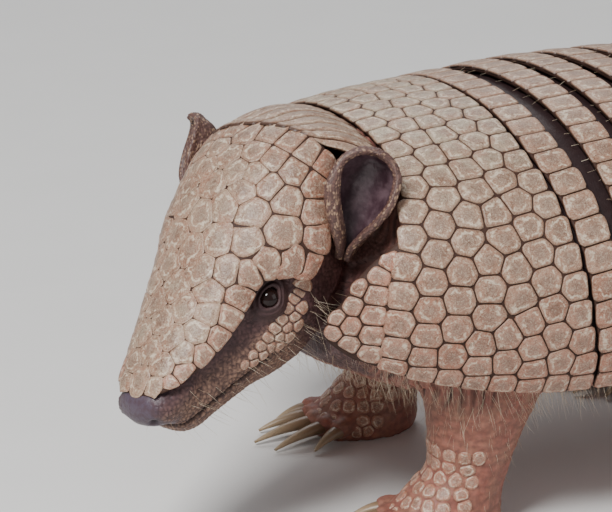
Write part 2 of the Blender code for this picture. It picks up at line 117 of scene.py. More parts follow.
def gathered(items: Sequence, name: str, width: int = 1, kind: type = float) -> Array:
    """One property of all the items of a mesh.

    Args:
        items: Its points, faces or corners.
        name: The property.
        width: How many numbers it has.
        kind: What the numbers are.

    Returns:
        One number or one row for each item.
    """
    found = np.empty(len(items) * width, dtype=kind)
    items.foreach_get(name, found)
    return found.reshape(-1, width) if width > 1 else found


def write_marks(mesh: bpy.types.Mesh, marks: dict[str, Array]) -> None:
    """Gives each point of a mesh its marks."""
    for name, values in marks.items():
        layer = mesh.attributes.new(name, "FLOAT", "POINT")
        layer.data.foreach_set("value", np.ascontiguousarray(values, dtype=np.float32))


def unwrapped(flat: Array) -> Array:
    """Places given by (u, v), spread over the unwrap with a narrow margin."""
    low, high = flat.min(axis=0), flat.max(axis=0)
    return .01 + .98 * (flat - low) / (high - low)


@dataclass(frozen=True)
class Profile:
    """A monotone cubic through stations, so that it never overshoots its values."""

    at: tuple[float, ...]
    value: tuple[float, ...]

    def __call__(self, where: Array | float) -> Array:
        """The height of the profile.

        Args:
            where: The places to read, held within the first and last station.

        Returns:
            One value for each place.
        """
        xs, ys = np.asarray(self.at, float), np.asarray(self.value, float)
        step = np.diff(xs)
        rise = np.diff(ys) / step
        slope = np.zeros_like(ys)
        slope[0], slope[-1] = rise[0], rise[-1]
        before, after = 2 * step[1:] + step[:-1], step[1:] + 2 * step[:-1]
        agree = rise[:-1] * rise[1:] > 0
        low, high = np.where(agree, rise[:-1], 1), np.where(agree, rise[1:], 1)
        slope[1:-1] = np.where(agree, (before + after) / (before / low + after / high), 0)
        where = np.clip(where, xs[0], xs[-1])
        i = np.clip(np.searchsorted(xs, where) - 1, 0, len(step) - 1)
        t = (where - xs[i]) / step[i]
        return (
            ys[i] * (1 + 2 * t) * (1 - t) ** 2
            + slope[i] * step[i] * t * (1 - t) ** 2
            + ys[i + 1] * t * t * (3 - 2 * t)
            + slope[i + 1] * step[i] * t * t * (t - 1)
        )


@dataclass(frozen=True)
class Grain:
    """Random relief that is the same on each run."""

    seed: int
    lattice: ClassVar[int] = 32

    def _table(self, depth: int = 1) -> Array:
        """Random numbers on a lattice that repeats."""
        n = self.lattice
        return np.random.default_rng(self.seed).random((n, n, n, depth))

    def _at(self, table: Array, cell: Array) -> Array:
        """The random numbers of cells."""
        i, j, k = np.moveaxis(cell % self.lattice, -1, 0)
        return table[i, j, k]

    def smooth(self, points: Array, size: float) -> Array:
        """Soft hills and hollows from -1 to 1.

        Args:
            points: Places in metres.
            size: The distance between hills.

        Returns:
            One height for each point.
        """
        table = self._table()[..., 0]
        scaled = points / size
        base = np.floor(scaled).astype(int)
        part = scaled - base
        part = part * part * (3 - 2 * part)
        total = 0
        for corner in np.ndindex(2, 2, 2):
            weight = np.prod(np.where(corner, part, 1 - part), axis=-1)
            total = total + weight * self._at(table, base + corner)
        return total * 2 - 1

    def rough(self, points: Array, size: float, octaves: int = 3) -> Array:
        """Soft relief with finer relief on it, from about -1 to 1."""
        return sum(self.smooth(points + k * .37, size / 2 ** k) / 2 ** k for k in range(octaves)) / 1.6

    def cells(self, points: Array, size: float) -> tuple[Array, Array]:
        """Round grains packed side by side.

        Args:
            points: Places in metres.
            size: The distance between grains.

        Returns:
            The height of a dome from 0 in the seams to 1 at its top, and each grain's own chance.
        """
        table = self._table(4)
        scaled = points / size
        base = np.floor(scaled).astype(int)
        nearest = np.full(points.shape[:-1], OUT_OF_REACH)
        second = nearest.copy()
        chance = np.zeros_like(nearest)
        for shift in np.ndindex(3, 3, 3):
            cell = base + np.array(shift) - 1
            pick = self._at(table, cell)
            gap = norm(cell + .15 + .7 * pick[..., :3] - scaled)
            second = np.minimum(second, np.maximum(nearest, gap))
            chance = np.where(gap < nearest, pick[..., 3], chance)
            nearest = np.minimum(nearest, gap)
        return np.clip((second - nearest) / .45, 0, 1) ** .5, chance


# ---- meshes -------------------------------------------------------------------------------
@dataclass
class Shape:
    """Points and faces on their way to becoming a mesh, with a number or two at each point."""

    points: Array
    faces: list[tuple[int, ...]] | Array
    marks: dict[str, Array] = field(default_factory=dict)
    unwrap: Array | None = None

    @staticmethod
    def joined(shapes: Sequence["Shape"]) -> "Shape":
        """Several shapes as one; all carry the same marks.

        Args:
            shapes: The shapes to join.

        Returns:
            One shape with all their points and faces.
        """
        faces: list[tuple[int, ...]] = []
        start = 0
        for shape in shapes:
            faces += [tuple(int(i) + start for i in f) for f in shape.faces]
            start += len(shape.points)
        marks = {k: np.concatenate([s.marks[k] for s in shapes]) for k in shapes[0].marks}
        unwraps = [s.unwrap for s in shapes]
        unwrap = None if any(u is None for u in unwraps) else np.concatenate(unwraps)
        return Shape(np.concatenate([s.points for s in shapes]), faces, marks, unwrap)

    def mesh(self, name: str) -> bpy.types.Object:
        """Makes the object.

        Args:
            name: The piece's name.

        Returns:
            A smooth-shaded mesh object, linked to the scene.
        """
        made = bpy.data.meshes.new(name)
        made.from_pydata(self.points.tolist(), [], [tuple(f) for f in self.faces])
        made.update()
        write_marks(made, self.marks)
        if self.unwrap is not None:
            corners = gathered(made.loops, "vertex_index", 1, np.int32)
            layer = made.uv_layers.new(name="OFBake")
            layer.data.foreach_set("uv", self.unwrap[corners].astype(np.float32).ravel())
        made.shade_smooth()
        obj = bpy.data.objects.new(name, made)
        bpy.context.scene.collection.objects.link(obj)
        return obj


def grid_faces(rows: int, columns: int, around: bool = False, start: int = 0) -> list[tuple[int, ...]]:
    """Quads over a grid of points.

    Args:
        rows: Rows of points.
        columns: Points in a row.
        around: Whether each row closes on itself.
        start: The number of the first point.

    Returns:
        The faces.
    """
    last = columns if around else columns - 1
    return [
        (
            start + r * columns + c,
            start + r * columns + (c + 1) % columns,
            start + (r + 1) * columns + (c + 1) % columns,
            start + (r + 1) * columns + c,
        )
        for r in range(rows - 1)
        for c in range(last)
    ]


def volume_of(shape: Shape) -> float:
    """The signed volume of a closed shape."""
    total = 0.0
    for f in shape.faces:
        for k in range(1, len(f) - 1):
            a, b, c = shape.points[f[0]], shape.points[f[k]], shape.points[f[k + 1]]
            total += np.dot(a, np.cross(b, c))
    return total / 6


def turned_out(shape: Shape) -> Shape:
    """The shape with its faces pointing outwards."""
    if volume_of(shape) < 0:
        shape.faces = [tuple(f)[::-1] for f in shape.faces]
    return shape


def loft(rings: Array) -> Shape:
    """A closed solid through rings.

    Args:
        rings: Points as (ring, place around, 3).

    Returns:
        The solid, with a fan over each end.
    """
    rows, columns = rings.shape[:2]
    points = np.concatenate([rings.reshape(-1, 3), rings[:1].mean(axis=1), rings[-1:].mean(axis=1)])
    faces = grid_faces(rows, columns, True)
    for start, hub, way in ((0, rows * columns, -1), ((rows - 1) * columns, rows * columns + 1, 1)):
        faces += [(start + c, hub, start + (c + 1) % columns)[::way] for c in range(columns)]
    return turned_out(Shape(points, faces))


def ball(rows: int, columns: int, pole: float = .02) -> Array:
    """Rings of a ball of radius one, from one pole on x to the other.

    Args:
        rows: How many rings.
        columns: Points in a ring.
        pole: The angle from a pole to its first ring.

    Returns:
        Points as (ring, place around, 3).
    """
    theta, phi = np.meshgrid(np.linspace(pole, math.pi - pole, rows), circle(columns), indexing="ij")
    return np.stack([np.cos(theta), np.sin(theta) * np.cos(phi), np.sin(theta) * np.sin(phi)], axis=-1)


def tube(path: Array, radii: Array, sides: int, squash: float = 1) -> Shape:
    """A closed round limb along a path that never runs sideways.

    Args:
        path: Points of its axis.
        radii: Its radius at each.
        sides: Points around it.
        squash: Its depth over its width.

    Returns:
        The solid.
    """
    run = unit(np.gradient(path, axis=0))
    across = np.array([0.0, 1.0, 0.0])
    side = unit(across - run * dot(run, across)[:, None])
    through = np.cross(run, side)
    turn = circle(sides)[None, :, None]
    ring = side[:, None] * np.cos(turn) + through[:, None] * np.sin(turn) * squash
    return loft(path[:, None] + ring * np.asarray(radii)[:, None, None])


# ---- surfaces of the body -----------------------------------------------------------------
class Surface:
    """A face of the body that can be walked over by two numbers, u and v."""

    inside: Sequence[float] = (0, 0, .09)
    tiny: ClassVar[Pair] = (1e-4, 1e-3)    # steps of u and v that show how fast the place changes
    farthest: ClassVar[float] = 400        # tiny steps that the averaged reach may take

    def point(self, u: Array, v: Array) -> Array:
        """The place at (u, v)."""
        raise NotImplementedError

    def tangents(self, u: Array, v: Array, reach: float = 1.5 * MM) -> tuple[Array, Array]:
        """The steps that u and v make.

        Args:
            u: First numbers.
            v: Second numbers.
            reach: The distance over which the steps are averaged.

        Returns:
            The change of place for a unit of u, and for a unit of v.
        """
        found = []
        for du, dv in ((self.tiny[0], 0.0), (0.0, self.tiny[1])):
            small = norm(self.point(u + du, v + dv) - self.point(u - du, v - dv))
            scale = np.clip(reach * 2 / np.maximum(small, 1e-9), 0, self.farthest)
            ahead = self.point(u + du * scale, v + dv * scale)
            behind = self.point(u - du * scale, v - dv * scale)
            found.append((ahead - behind) / (2 * scale * (du + dv))[..., None])
        return found[0], found[1]

    def normal(self, u: Array, v: Array) -> Array:
        """The direction straight out of the surface."""
        along, across = self.tangents(u, v)
        return unit(np.cross(along, across)) * self._side()

    def ring(self, u: float, v: Array, height: float) -> Array:
        """Places over the surface that share one u."""
        return self.raised(np.full_like(v, u), v, height)

    def _side(self) -> float:
        """Whether the tangents' cross product points outwards, found once."""
        if not hasattr(self, "_sign"):
            u, v = np.array([self.middle[0]]), np.array([self.middle[1]])
            along, across = self.tangents(u, v)
            out = self.point(u, v) - np.asarray(self.inside, float)
            object.__setattr__(self, "_sign", float(np.sign(dot(np.cross(along, across), out))[0]))
        return self._sign

    def raised(self, u: Array, v: Array, height: Array | float) -> Array:
        """The place at (u, v) moved straight out by a height."""
        lift = np.broadcast_to(np.asarray(height, float), np.shape(u))
        return self.point(u, v) + self.normal(u, v) * lift[..., None]


@dataclass
class Shell(Surface):
    """The outer face of the armour over the trunk: u runs rearwards, v is the angle from the crest."""

    datum: float = -.115          # x where the scapular shield ends
    edge: float = math.radians(115)
    middle: Pair = (.02, .4)
    inside: Triple = (-.10, 0, .09)
    half: Profile = Profile(
        SHELL_STATIONS,
        (.057, .069, .0775, .085, .090, .093, .094, .090, .079, .063, .049, .036, .026),
    )
    top: Profile = Profile(
        SHELL_STATIONS,
        (.131, .141, .1470, .1505, .152, .154, .153, .148, .137, .123, .110, .097, .086),
    )
    low: Profile = Profile(
        (-.095, -.075, -.058, -.030, .000, .160, .186, .201, .210, .215),
        (.081, .0745, .0680, .0615, .0585, .060, .063, .066, .069, .072),
    )
    shield_front: Profile = Profile(
        (0, 25, 41, 50, 60, 69, 78, 86, 94, 103, 109, 115),
        (-.054, -.054, -.057, -.061, -.064, -.074, -.081, -.0845, -.089, -.090, -.087, -.079),
    )
    row_front: Profile = Profile(
        (0, 25, 41, 50, 60, 70, 80, 90, 100, 115),
        (-.054, -.054, -.057, -.061, -.064, -.068, -.070, -.0715, -.072, -.0715),
    )
    shield_rear: Profile = Profile(
        (0, 30, 50, 70, 90, 105, 115),
        (-.0065, -.0065, -.0040, -.0010, .0020, .0055, .0060),
    )
    band_count: int = 6
    band_plate: float = .0125
    band_gap: float = .0205
    band_pitch: float = .0170
    first_gap: float = .0008      # from the scapular shield to the first band
    pelvic_end: float = .2095
    pelvic_sweep: float = .034

    def point(self, u: Array, v: Array) -> Array:
        """The place u behind the datum and v radians down from the crest, left of it where v is positive."""
        top, rise = self._crest(u)
        return np.stack(
            [self.datum + u, -self.half(u) * power(np.sin(v)), top - rise + rise * power(np.cos(v))], axis=-1
        )

    def _crest(self, along: Array) -> tuple[Array, Array]:
        """How high a section's crest lies, and how far above the section's middle."""
        top = self.top(along)
        return top, (top - self.low(along)) / (1 - power(math.cos(self.edge)))

    def angle_of(self, points: Array) -> Array:
        """How many radians down from the crest places lie."""
        along = points[:, 0] - self.datum
        top, rise = self._crest(along)
        across = power(-points[:, 1] / self.half(along), ROUNDNESS / 2)
        return np.arctan2(across, power((points[:, 2] - top + rise) / rise, ROUNDNESS / 2))

    def front(self, v: Array) -> Array:
        """Front edge of the scapular shield."""
        return self.shield_front(np.degrees(np.abs(v)))

    def rear(self, v: Array) -> Array:
        """Rear edge of the scapular shield."""
        return self.shield_rear(np.degrees(np.abs(v)))

    def first_row(self, v: Array) -> Array:
        """Front edge of the shield's first whole row of plates."""
        return self.row_front(np.degrees(np.abs(v)))

    def band_start(self, number: int, v: Array) -> Array:
        """Front edge of a movable band, counted from 0."""
        if number == 0:
            return self.rear(v) + self.first_gap
        relaxed = 1 - number / self.band_count
        last = self.shield_rear.value[-1]
        return self.band_gap + (number - 1) * self.band_pitch + relaxed * (self.rear(v) - last) * .5

    @property
    def pelvic_start(self) -> float:
        """Front edge of the pelvic shield."""
        return self.band_gap + (self.band_count - 1) * self.band_pitch

    def pelvic_rear(self, v: Array) -> Array:
        """Rear edge of the pelvic shield, drawn forward at its lower corners."""
        return self.pelvic_end - self.pelvic_sweep * np.abs(v / self.edge) ** 2.4


@dataclass
class Skull:
    """The head's own frame, along the head from the back of its shield, left, and up, and its profiles."""

    back: Triple = (-.2083, -.0118, .1508)
    turn: float = math.radians(28.8)
    drop: float = math.radians(43.8)
    tilt: float = math.radians(10.2)
    half: Profile = Profile(
        HEAD_STATIONS,
        (.0260, .0300, .0320, .0336, .0350, .0336, .0280, .0248, .0231, .0206, .0172, .0140, .0102),
    )
    crest: Profile = Profile(
        HEAD_STATIONS,
        (-.0044, .002, .005, .006, .0054, .0038, .0026, .0012, -.0008, -.0022, -.0036, -.0050, -.0070),
    )
    edge: Profile = Profile(
        HEAD_STATIONS,
        (
            -.0128, -.0150, -.0182, -.0229, -.0272, -.0260, -.0180,
            -.0140, -.0150, -.0152, -.0128, -.0098, -.0090,
        ),
    )
    cheek: Profile = Profile(
        JAW_STATIONS,
        (.0255, .0300, .0330, .0325, .0296, .0255, .0208, .0168, .0140, .0116),
    )
    chin: Profile = Profile(
        JAW_STATIONS,
        (-.050, -.0565, -.0605, -.0615, -.0605, -.0565, -.0480, -.0410, -.0365, -.0305),
    )
    tuck: float = .0044
    eye: Triple = (.0556, .0215, -.0226)
    eye_radius: float = .0044
    nose: Triple = (.1071, 0, -.0145)
    nose_radii: Triple = (.0078, .0138, .0082)
    rear_edge: float = -.0034
    rear_bow: float = .0055
    front_edge: float = .1085
    front_bow: float = .0060

    def axes(self) -> Array:
        """The head's (forward, left, up) directions, as rows."""
        forward = np.array([
            -math.cos(self.drop) * math.cos(self.turn),
            -math.cos(self.drop) * math.sin(self.turn),
            -math.sin(self.drop),
        ])
        level = np.array([math.sin(self.turn), -math.cos(self.turn), 0])
        crown = np.cross(forward, level)
        left = level * math.cos(self.tilt) + crown * math.sin(self.tilt)
        return np.array([forward, left, crown * math.cos(self.tilt) - level * math.sin(self.tilt)])

    def place(self, local: Array) -> Array:
        """World places of points given in the head's frame."""
        return np.asarray(self.back) + np.asarray(local) @ self.axes()

    def local(self, world: Array) -> Array:
        """Head-frame places of world points."""
        return (np.asarray(world) - np.asarray(self.back)) @ self.axes().T

    def shield_rear(self, across: Array) -> Array:
        """How far along the head the rear edge of its shield lies."""
        return self.rear_edge + self.rear_bow * across ** 2

    def shield_front(self, across: Array) -> Array:
        """How far along the head the front edge of its shield lies."""
        return self.front_edge - self.front_bow * across ** 2


@dataclass
class Crown(Surface):
    """The head shield's outer face: u runs along the head, v from -1 at its right edge to 1 at its left."""

    skull: Skull
    middle: Pair = (.04, .2)

    @property
    def inside(self) -> Array:
        """A place within the head."""
        return self.skull.place((.04, 0, -.03))

    def point(self, u: Array, v: Array) -> Array:
        """The place u along the head and v across it."""
        half, crest, edge = self.skull.half(u), self.skull.crest(u), self.skull.edge(u)
        angle = v * math.pi / 2
        return self.skull.place(
            np.stack([u, half * power(np.sin(angle)), edge + (crest - edge) * power(np.cos(angle))], axis=-1)
        )


@dataclass
class Cheek(Surface):
    """Cheek and jaw: u runs along the head, v from 0 at the shield's edge to 1 under the chin."""

    skull: Skull
    side: int
    middle: Pair = (.06, .4)

    @property
    def inside(self) -> Array:
        """A place within the head."""
        return self.skull.place((.05, 0, -.03))

    def point(self, u: Array, v: Array) -> Array:
        """The place u along the head and v of the way down to the chin."""
        skull = self.skull
        start, edge = skull.half(u) - skull.tuck, skull.edge(u)
        width = start + (skull.cheek(u) - start) * ramp(v, 0, 1 / 3)
        angle = v * math.pi / 2
        return skull.place(np.stack([
            u + 0 * v,
            self.side * width * power(np.cos(angle)),
            edge + (skull.chin(u) - edge) * power(np.sin(angle)),
        ], axis=-1))


@dataclass
class Nape(Surface):
    """The single band of long plates behind the crown: u runs across, v from the head to the shoulders."""

    skull: Skull
    shell: Shell
    angle: float = math.radians(33)
    reach: float = .84
    rise: float = .0030
    lift: Triple = (-.35, 0, 1)        # the way in which it arches up
    laps: Pair = (.0026, .0016)        # how far it lies over the shields' edges, at head and shoulders
    sunk: float = .0006                # how far under their outer faces
    middle: Pair = (.1, .5)

    @property
    def inside(self) -> Array:
        """A place within the neck."""
        return np.asarray(self.skull.back) + (.02, .01, -.05)

    def point(self, u: Array, v: Array) -> Array:
        """The place u across the neck and v of the way back."""
        head = Crown(self.skull).raised(self.skull.shield_rear(u) - self.laps[0], u * self.reach, -self.sunk)
        body = self.shell.raised(self.shell.front(self.angle * u) - self.laps[1], self.angle * u, -self.sunk)
        arch = unit(np.array(self.lift)) * (self.rise * np.sin(math.pi * np.clip(v, 0, 1)))[..., None]
        return head + (body - head) * v[..., None] + arch * (1 - .5 * u ** 2)[..., None]


@dataclass
class Limb(Surface):
    """A leg: u is the height above the ground, v the angle round it."""

    stations: tuple[tuple[float, float, float, float, float], ...]
    x: float
    side: int
    middle: Pair = (.04, .7)

    @property
    def inside(self) -> Array:
        """A place within the leg."""
        _, dx, y, _, _ = self.stations[3]
        return np.array([self.x + dx, self.side * y, .04])

    def _across(self, column: int, u: Array) -> Array:
        """One of the leg's measures at a height."""
        rising = self.stations[::-1]
        return Profile(tuple(s[0] for s in rising), tuple(s[column] for s in rising))(u)

    def point(self, u: Array, v: Array) -> Array:
        """The place at height u and angle v."""
        dx, y, length, width = (self._across(k, u) for k in (1, 2, 3, 4))
        return np.stack(
            [self.x + dx + length * np.cos(v), self.side * (y + width * np.sin(v)), u + 0 * v], axis=-1
        )


@dataclass
class Tail(Surface):
    """The tail: u counts its stations from the root, v is the angle round it."""

    middle: Pair = (4.0, .5)
    x: tuple[float, ...] = (.0700, .0880, .1080, .1320, .1560, .1800, .2020, .2230, .2430, .2600, .2705)
    y: tuple[float, ...] = (0, 0, .001, .003, .006, .009, .011, .012, .011, .009, .007)
    z: tuple[float, ...] = (.0650, .0640, .0590, .0500, .0410, .0335, .0283, .0253, .0245, .0258, .0275)
    radius: tuple[float, ...] = (.0175, .0170, .0152, .0132, .0115, .0097, .0082, .0067, .0051, .0035, .0018)

    @property
    def inside(self) -> Array:
        """A place on the tail's axis."""
        return self.axis(np.array(self.middle[0]))

    def radius_at(self, u: Array | float) -> Array:
        """The tail's radius at station u."""
        return self._read(self.radius, np.asarray(u, float))

    def _read(self, values: tuple[float, ...], u: Array) -> Array:
        """A measure of the tail at station u."""
        return Profile(tuple(range(len(values))), values)(u)

    def axis(self, u: Array) -> Array:
        """The middle of the tail at station u."""
        return np.stack([self._read(c, u) for c in (self.x, self.y, self.z)], axis=-1)

    def point(self, u: Array, v: Array) -> Array:
        """The place at station u and angle v; v is 0 on the animal's right and a quarter turn on top."""
        run = unit(self.axis(u + .02) - self.axis(u - .02))
        across = unit(np.array([0, 1, 0]) - run * run[..., 1:2])
        through = np.cross(run, across)
        turned = across * np.cos(v)[..., None] + through * np.sin(v)[..., None]
        return self.axis(u) + turned * self._read(self.radius, u)[..., None]


# ---- the pavement of plates ---------------------------------------------------------------
class Fit(Enum):
    """How finely a plate is modelled: directions round it, and rings from its middle to its rim."""

    LARGE = (44, (.14, .30, .44, .55, .64, .73, .81, .88, .94, .98, 1))
    PLATE = (30, (.20, .40, .54, .64, .74, .84, .92, .97, 1))
    SMALL = (20, (.30, .55, .75, .90, 1))


@dataclass
class Layout:
    """Where plates lie, the steps that u and v make there, and two level directions at each."""

    place: Array
    step_u: Array
    step_v: Array
    ahead: Array
    aside: Array

    def walk(self, forward: Array, sideways: Array) -> tuple[Array, Array]:
        """The changes of u and v that lead level distances away from each plate's middle."""
        wide = (slice(None),) + (None,) * (forward.ndim - 1)
        down = sideways / dot(self.step_v, self.aside)[wide]
        along = (forward - dot(self.step_v, self.ahead)[wide] * down) / dot(self.step_u, self.ahead)[wide]
        return along, down


@dataclass
class Mosaic:
    """A pavement of horny plates, each of which fills its own cell among its neighbours."""

    surface: Surface
    seeds: Array                       # (plate, 2) middles of the plates, as u and v
    ghosts: Array                      # (n, 2) middles of plates that only bound the others
    size: Array | float = 0.0          # how much wider than its neighbours each one grows
    fit: Fit = Fit.PLATE
    gap: Array | float = .10 * MM      # half the seam between two plates
    depth: Array | float = .75 * MM    # from a plate's top down to the bottom of the seam
    shoulder: float = .65 * MM         # width of its rounded edge
    dome: float = .22 * MM
    groove: float = .07 * MM
    relief: float = .10 * MM
    corner: float = 13                 # how sharp its corners are
    largest: float = .012
    box: Pair | None = None    # half the size along u and v, for plates that are all alike
    limit: float = 9                   # v beyond which no plate reaches
    rear: Curve | None = None    # u behind which no plate reaches, at each v
    seam: Array | float = 1.0          # how dark its edge is
    eased: int = 0                     # times that the plates are centred in their cells
    fixed: Array | None = None         # plates that stay where they are meanwhile
    lift: Array | float = 0.0
    blush: Array | float = .3
    worn: Array | float = 0.0          # how bleached and blotchy it is
    seed: int = 5
    stride: float = 3 * MM             # how far the steps of u and v are averaged, and the unit of inward
    bounds: int = 12                   # how many neighbours may bound a plate
    narrowest: float = .3 * MM         # from a plate's middle to its nearest seam
    knob: float = 4.5 * MM             # radius of a plate with the whole dome
    groove_at: Pair = (.66, .07)       # where the ring lies, in shares of the radius, and its width
    grain: float = 2.2 * MM
    step: float = .20 * MM             # how much plates differ in height
    sunk: float = .12 * MM

    def build(self) -> Shape:
        """Works out every plate.

        Returns:
            All the plates with their marks, unwrapped as the surface is.
        """
        for _ in range(self.eased):
            self._centre()
        count = len(self.seeds)
        u, v = self.seeds.T
        sides, rings = self.fit.value
        laid = self._laid_out()
        radius, ray = self._outline(laid, sides, self.corner)
        rho = np.concatenate([[0.0], np.asarray(rings)])
        away = radius[:, None, :] * rho[None, :, None]
        along, down = laid.walk(away * ray[0], away * ray[1])
        for _ in range(2):
            real = self.surface.point(u[:, None, None] + along, v[:, None, None] + down)
            real = norm(real - laid.place[:count, None, None])
            fix = np.clip(np.where(away > 0, away / np.maximum(real, 1e-7), 1), .75, 1.35)
            along, down = along * fix, down * fix
        if self.box is not None:
            square = ray * np.sum(np.abs(ray) ** 9, axis=0) ** (-1 / 9)
            along, down = (np.broadcast_to(half * way * rho[:, None], along.shape)
                           for half, way in zip(self.box, square))
            real = [self.surface.point(u + a, v + b) for a, b in ((self.box[0], 0), (0, self.box[1]))]
            short = np.min([norm(end - laid.place[:count]) for end in real], axis=0)
            radius = np.repeat(short[:, None], sides, axis=1)
        all_u = u[:, None, None] + along
        all_v = np.clip(v[:, None, None] + down, -self.limit, self.limit)
        if self.rear is not None:
            all_u = np.maximum(all_u, self.rear(all_v))
        points = self.surface.raised(all_u, all_v, self._height(all_u, all_v, radius, rho))
        return self._stitched(points, all_u, all_v, rho, radius)

    def _each(self, value: Array | float) -> Array:
        """A value for each plate."""
        return np.broadcast_to(np.asarray(value, float), (len(self.seeds),))

    def _laid_out(self) -> Layout:
        """The plates and ghosts on their surface, as the seeds are now."""
        u, v = self.seeds.T
        place = self.surface.point(*np.concatenate([self.seeds, self.ghosts]).T)
        step_u, step_v = self.surface.tangents(u, v, self.stride)
        ahead = unit(step_u)
        return Layout(place, step_u, step_v, ahead, unit(np.cross(self.surface.normal(u, v), ahead)))

    def _outline(self, laid: Layout, sides: int, corner: float) -> tuple[Array, Array]:
        """The plates' outlines.

        Args:
            laid: How the plates lie.
            sides: How many directions to look in.
            corner: How sharp the outlines' corners are.

        Returns:
            How far each plate reaches in each direction, and the directions as (2, side).
        """
        reach, heading = self._neighbours(laid)
        ray = np.stack([np.cos(circle(sides)), np.sin(circle(sides))])
        toward = np.maximum(0, heading @ ray) / reach[..., None]
        return np.minimum(np.sum(toward ** corner, axis=1) ** (-1 / corner), self.largest), ray

    def _centre(self) -> None:
        """Moves each plate that isn't fixed most of the way to the middle of its own cell."""
        laid = self._laid_out()
        radius, ray = self._outline(laid, 24, 20)
        middle = (radius ** 3)[:, None] * ray[None] * (2 / 3)
        middle = middle.sum(axis=2) / (radius ** 2).sum(axis=1)[:, None]
        free = self._each(1.0 if self.fixed is None else 1.0 - self.fixed)
        self.seeds = self.seeds + np.stack(laid.walk(*middle.T), axis=1) * free[:, None] * .8

    def _neighbours(self, laid: Layout) -> tuple[Array, Array]:
        """How far the seams round each plate lie from its middle, and the direction of each."""
        count = len(self.seeds)
        gaps = laid.place[None] - laid.place[:count, None]
        chord = norm(gaps)
        chord[np.arange(count), np.arange(count)] = OUT_OF_REACH
        nearest = np.argsort(chord, axis=1)[:, :self.bounds]
        rows = np.arange(count)[:, None]
        chord = chord[rows, nearest]
        flat = [np.einsum("nkc,nc->nk", gaps[rows, nearest], way) for way in (laid.ahead, laid.aside)]
        size = np.zeros(len(laid.place))
        size[:count] = self.size
        own, other = size[:count, None], size[nearest]
        reach = (chord ** 2 + own ** 2 - other ** 2) / (2 * chord) - self._each(self.gap)[:, None]
        return np.maximum(reach, self.narrowest), unit(np.stack(flat, axis=-1))

    def _height(self, u: Array, v: Array, radius: Array, rho: Array) -> Array:
        """How far each point stands over the surface."""
        chance = np.random.default_rng(self.seed + 1).random((len(radius), 3))
        inward = radius[:, None, :] * (1 - rho[None, :, None])
        edge = np.clip(inward / self.shoulder, 0, 1)
        fall = self._each(self.depth)[:, None, None] * (1 - np.sqrt(1 - (1 - edge) ** 2))
        broad = radius.mean(axis=1)[:, None, None]
        dome = self.dome * np.clip(broad / self.knob, .3, 1.4) * (1 - rho[None, :, None] ** 2)
        rough = Grain(self.seed + 2).rough(self.surface.point(u, v), self.grain) * self.relief
        at, width = self.groove_at
        ringed = self.groove * bell(rho[None, :, None] - at, width)
        level = (chance[:, 0, None, None] - .5) * self.step
        lift = self._each(self.lift)[:, None, None]
        return dome + rough * edge - fall - ringed * edge + level + lift - self.sunk

    def _stitched(self, points: Array, u: Array, v: Array, rho: Array, radius: Array) -> Shape:
        """Faces, marks and unwrap for the plates' points."""
        count, rings, sides = points.shape[:3]
        each = (rings - 1) * sides + 1
        block = np.concatenate([points[:, :1, 0], points[:, 1:].reshape(count, -1, 3)], axis=1)
        fan = [(0, 1 + k, 1 + (k + 1) % sides) for k in range(sides)]
        walls = [(a, d, c, b) for a, b, c, d in grid_faces(rings - 1, sides, True, 1)]
        faces = [tuple(i + n * each for i in f) for n in range(count) for f in fan + walls]
        first = block[0][list(fan[0])]
        outward = self.surface.normal(u[:1, :1, 0], v[:1, :1, 0])[0, 0]
        if np.dot(np.cross(first[1] - first[0], first[2] - first[0]), outward) < 0:
            faces = [f[::-1] for f in faces]
        inward = radius[:, None, :] * (1 - rho[1:])[None, :, None] / self.stride
        middle = radius.mean(axis=1)[:, None] / self.stride
        marks = {
            "ring": np.tile(np.concatenate([[0], np.repeat(rho[1:], sides)]), count),
            "inward": np.concatenate([middle, inward.reshape(count, -1)], axis=1).ravel(),
            "chance": np.repeat(np.random.default_rng(self.seed + 3).random(count), each),
        }
        for name in ("blush", "seam", "worn"):
            marks[name] = np.repeat(self._each(getattr(self, name)), each)
        flat = np.stack([u, v], axis=-1)
        flat = np.concatenate([flat[:, :1, 0], flat[:, 1:].reshape(count, -1, 2)], axis=1).reshape(-1, 2)
        return Shape(block.reshape(-1, 3), faces, marks, unwrapped(flat))


def spaced(surface: Surface, curve: Curve, ends: Pair, pitch: float, shift: float = 0) -> Array:
    """Middles of plates evenly spaced along a row that runs with v.

    Args:
        surface: What the row lies on.
        curve: u of the row for each v.
        ends: v where the row starts and stops.
        pitch: Distance from one plate to the next, before it is fitted to the row's length.
        shift: How far the plates are moved along, in plates.

    Returns:
        The plates' (u, v).
    """
    v = np.linspace(*ends, 500)
    run = travelled(surface.point(curve(v), v))
    count = max(2, round(run[-1] / pitch))
    at = np.interp((np.arange(count) + .5 + shift) * run[-1] / count, run, v)
    return np.stack([curve(at), at], axis=1)


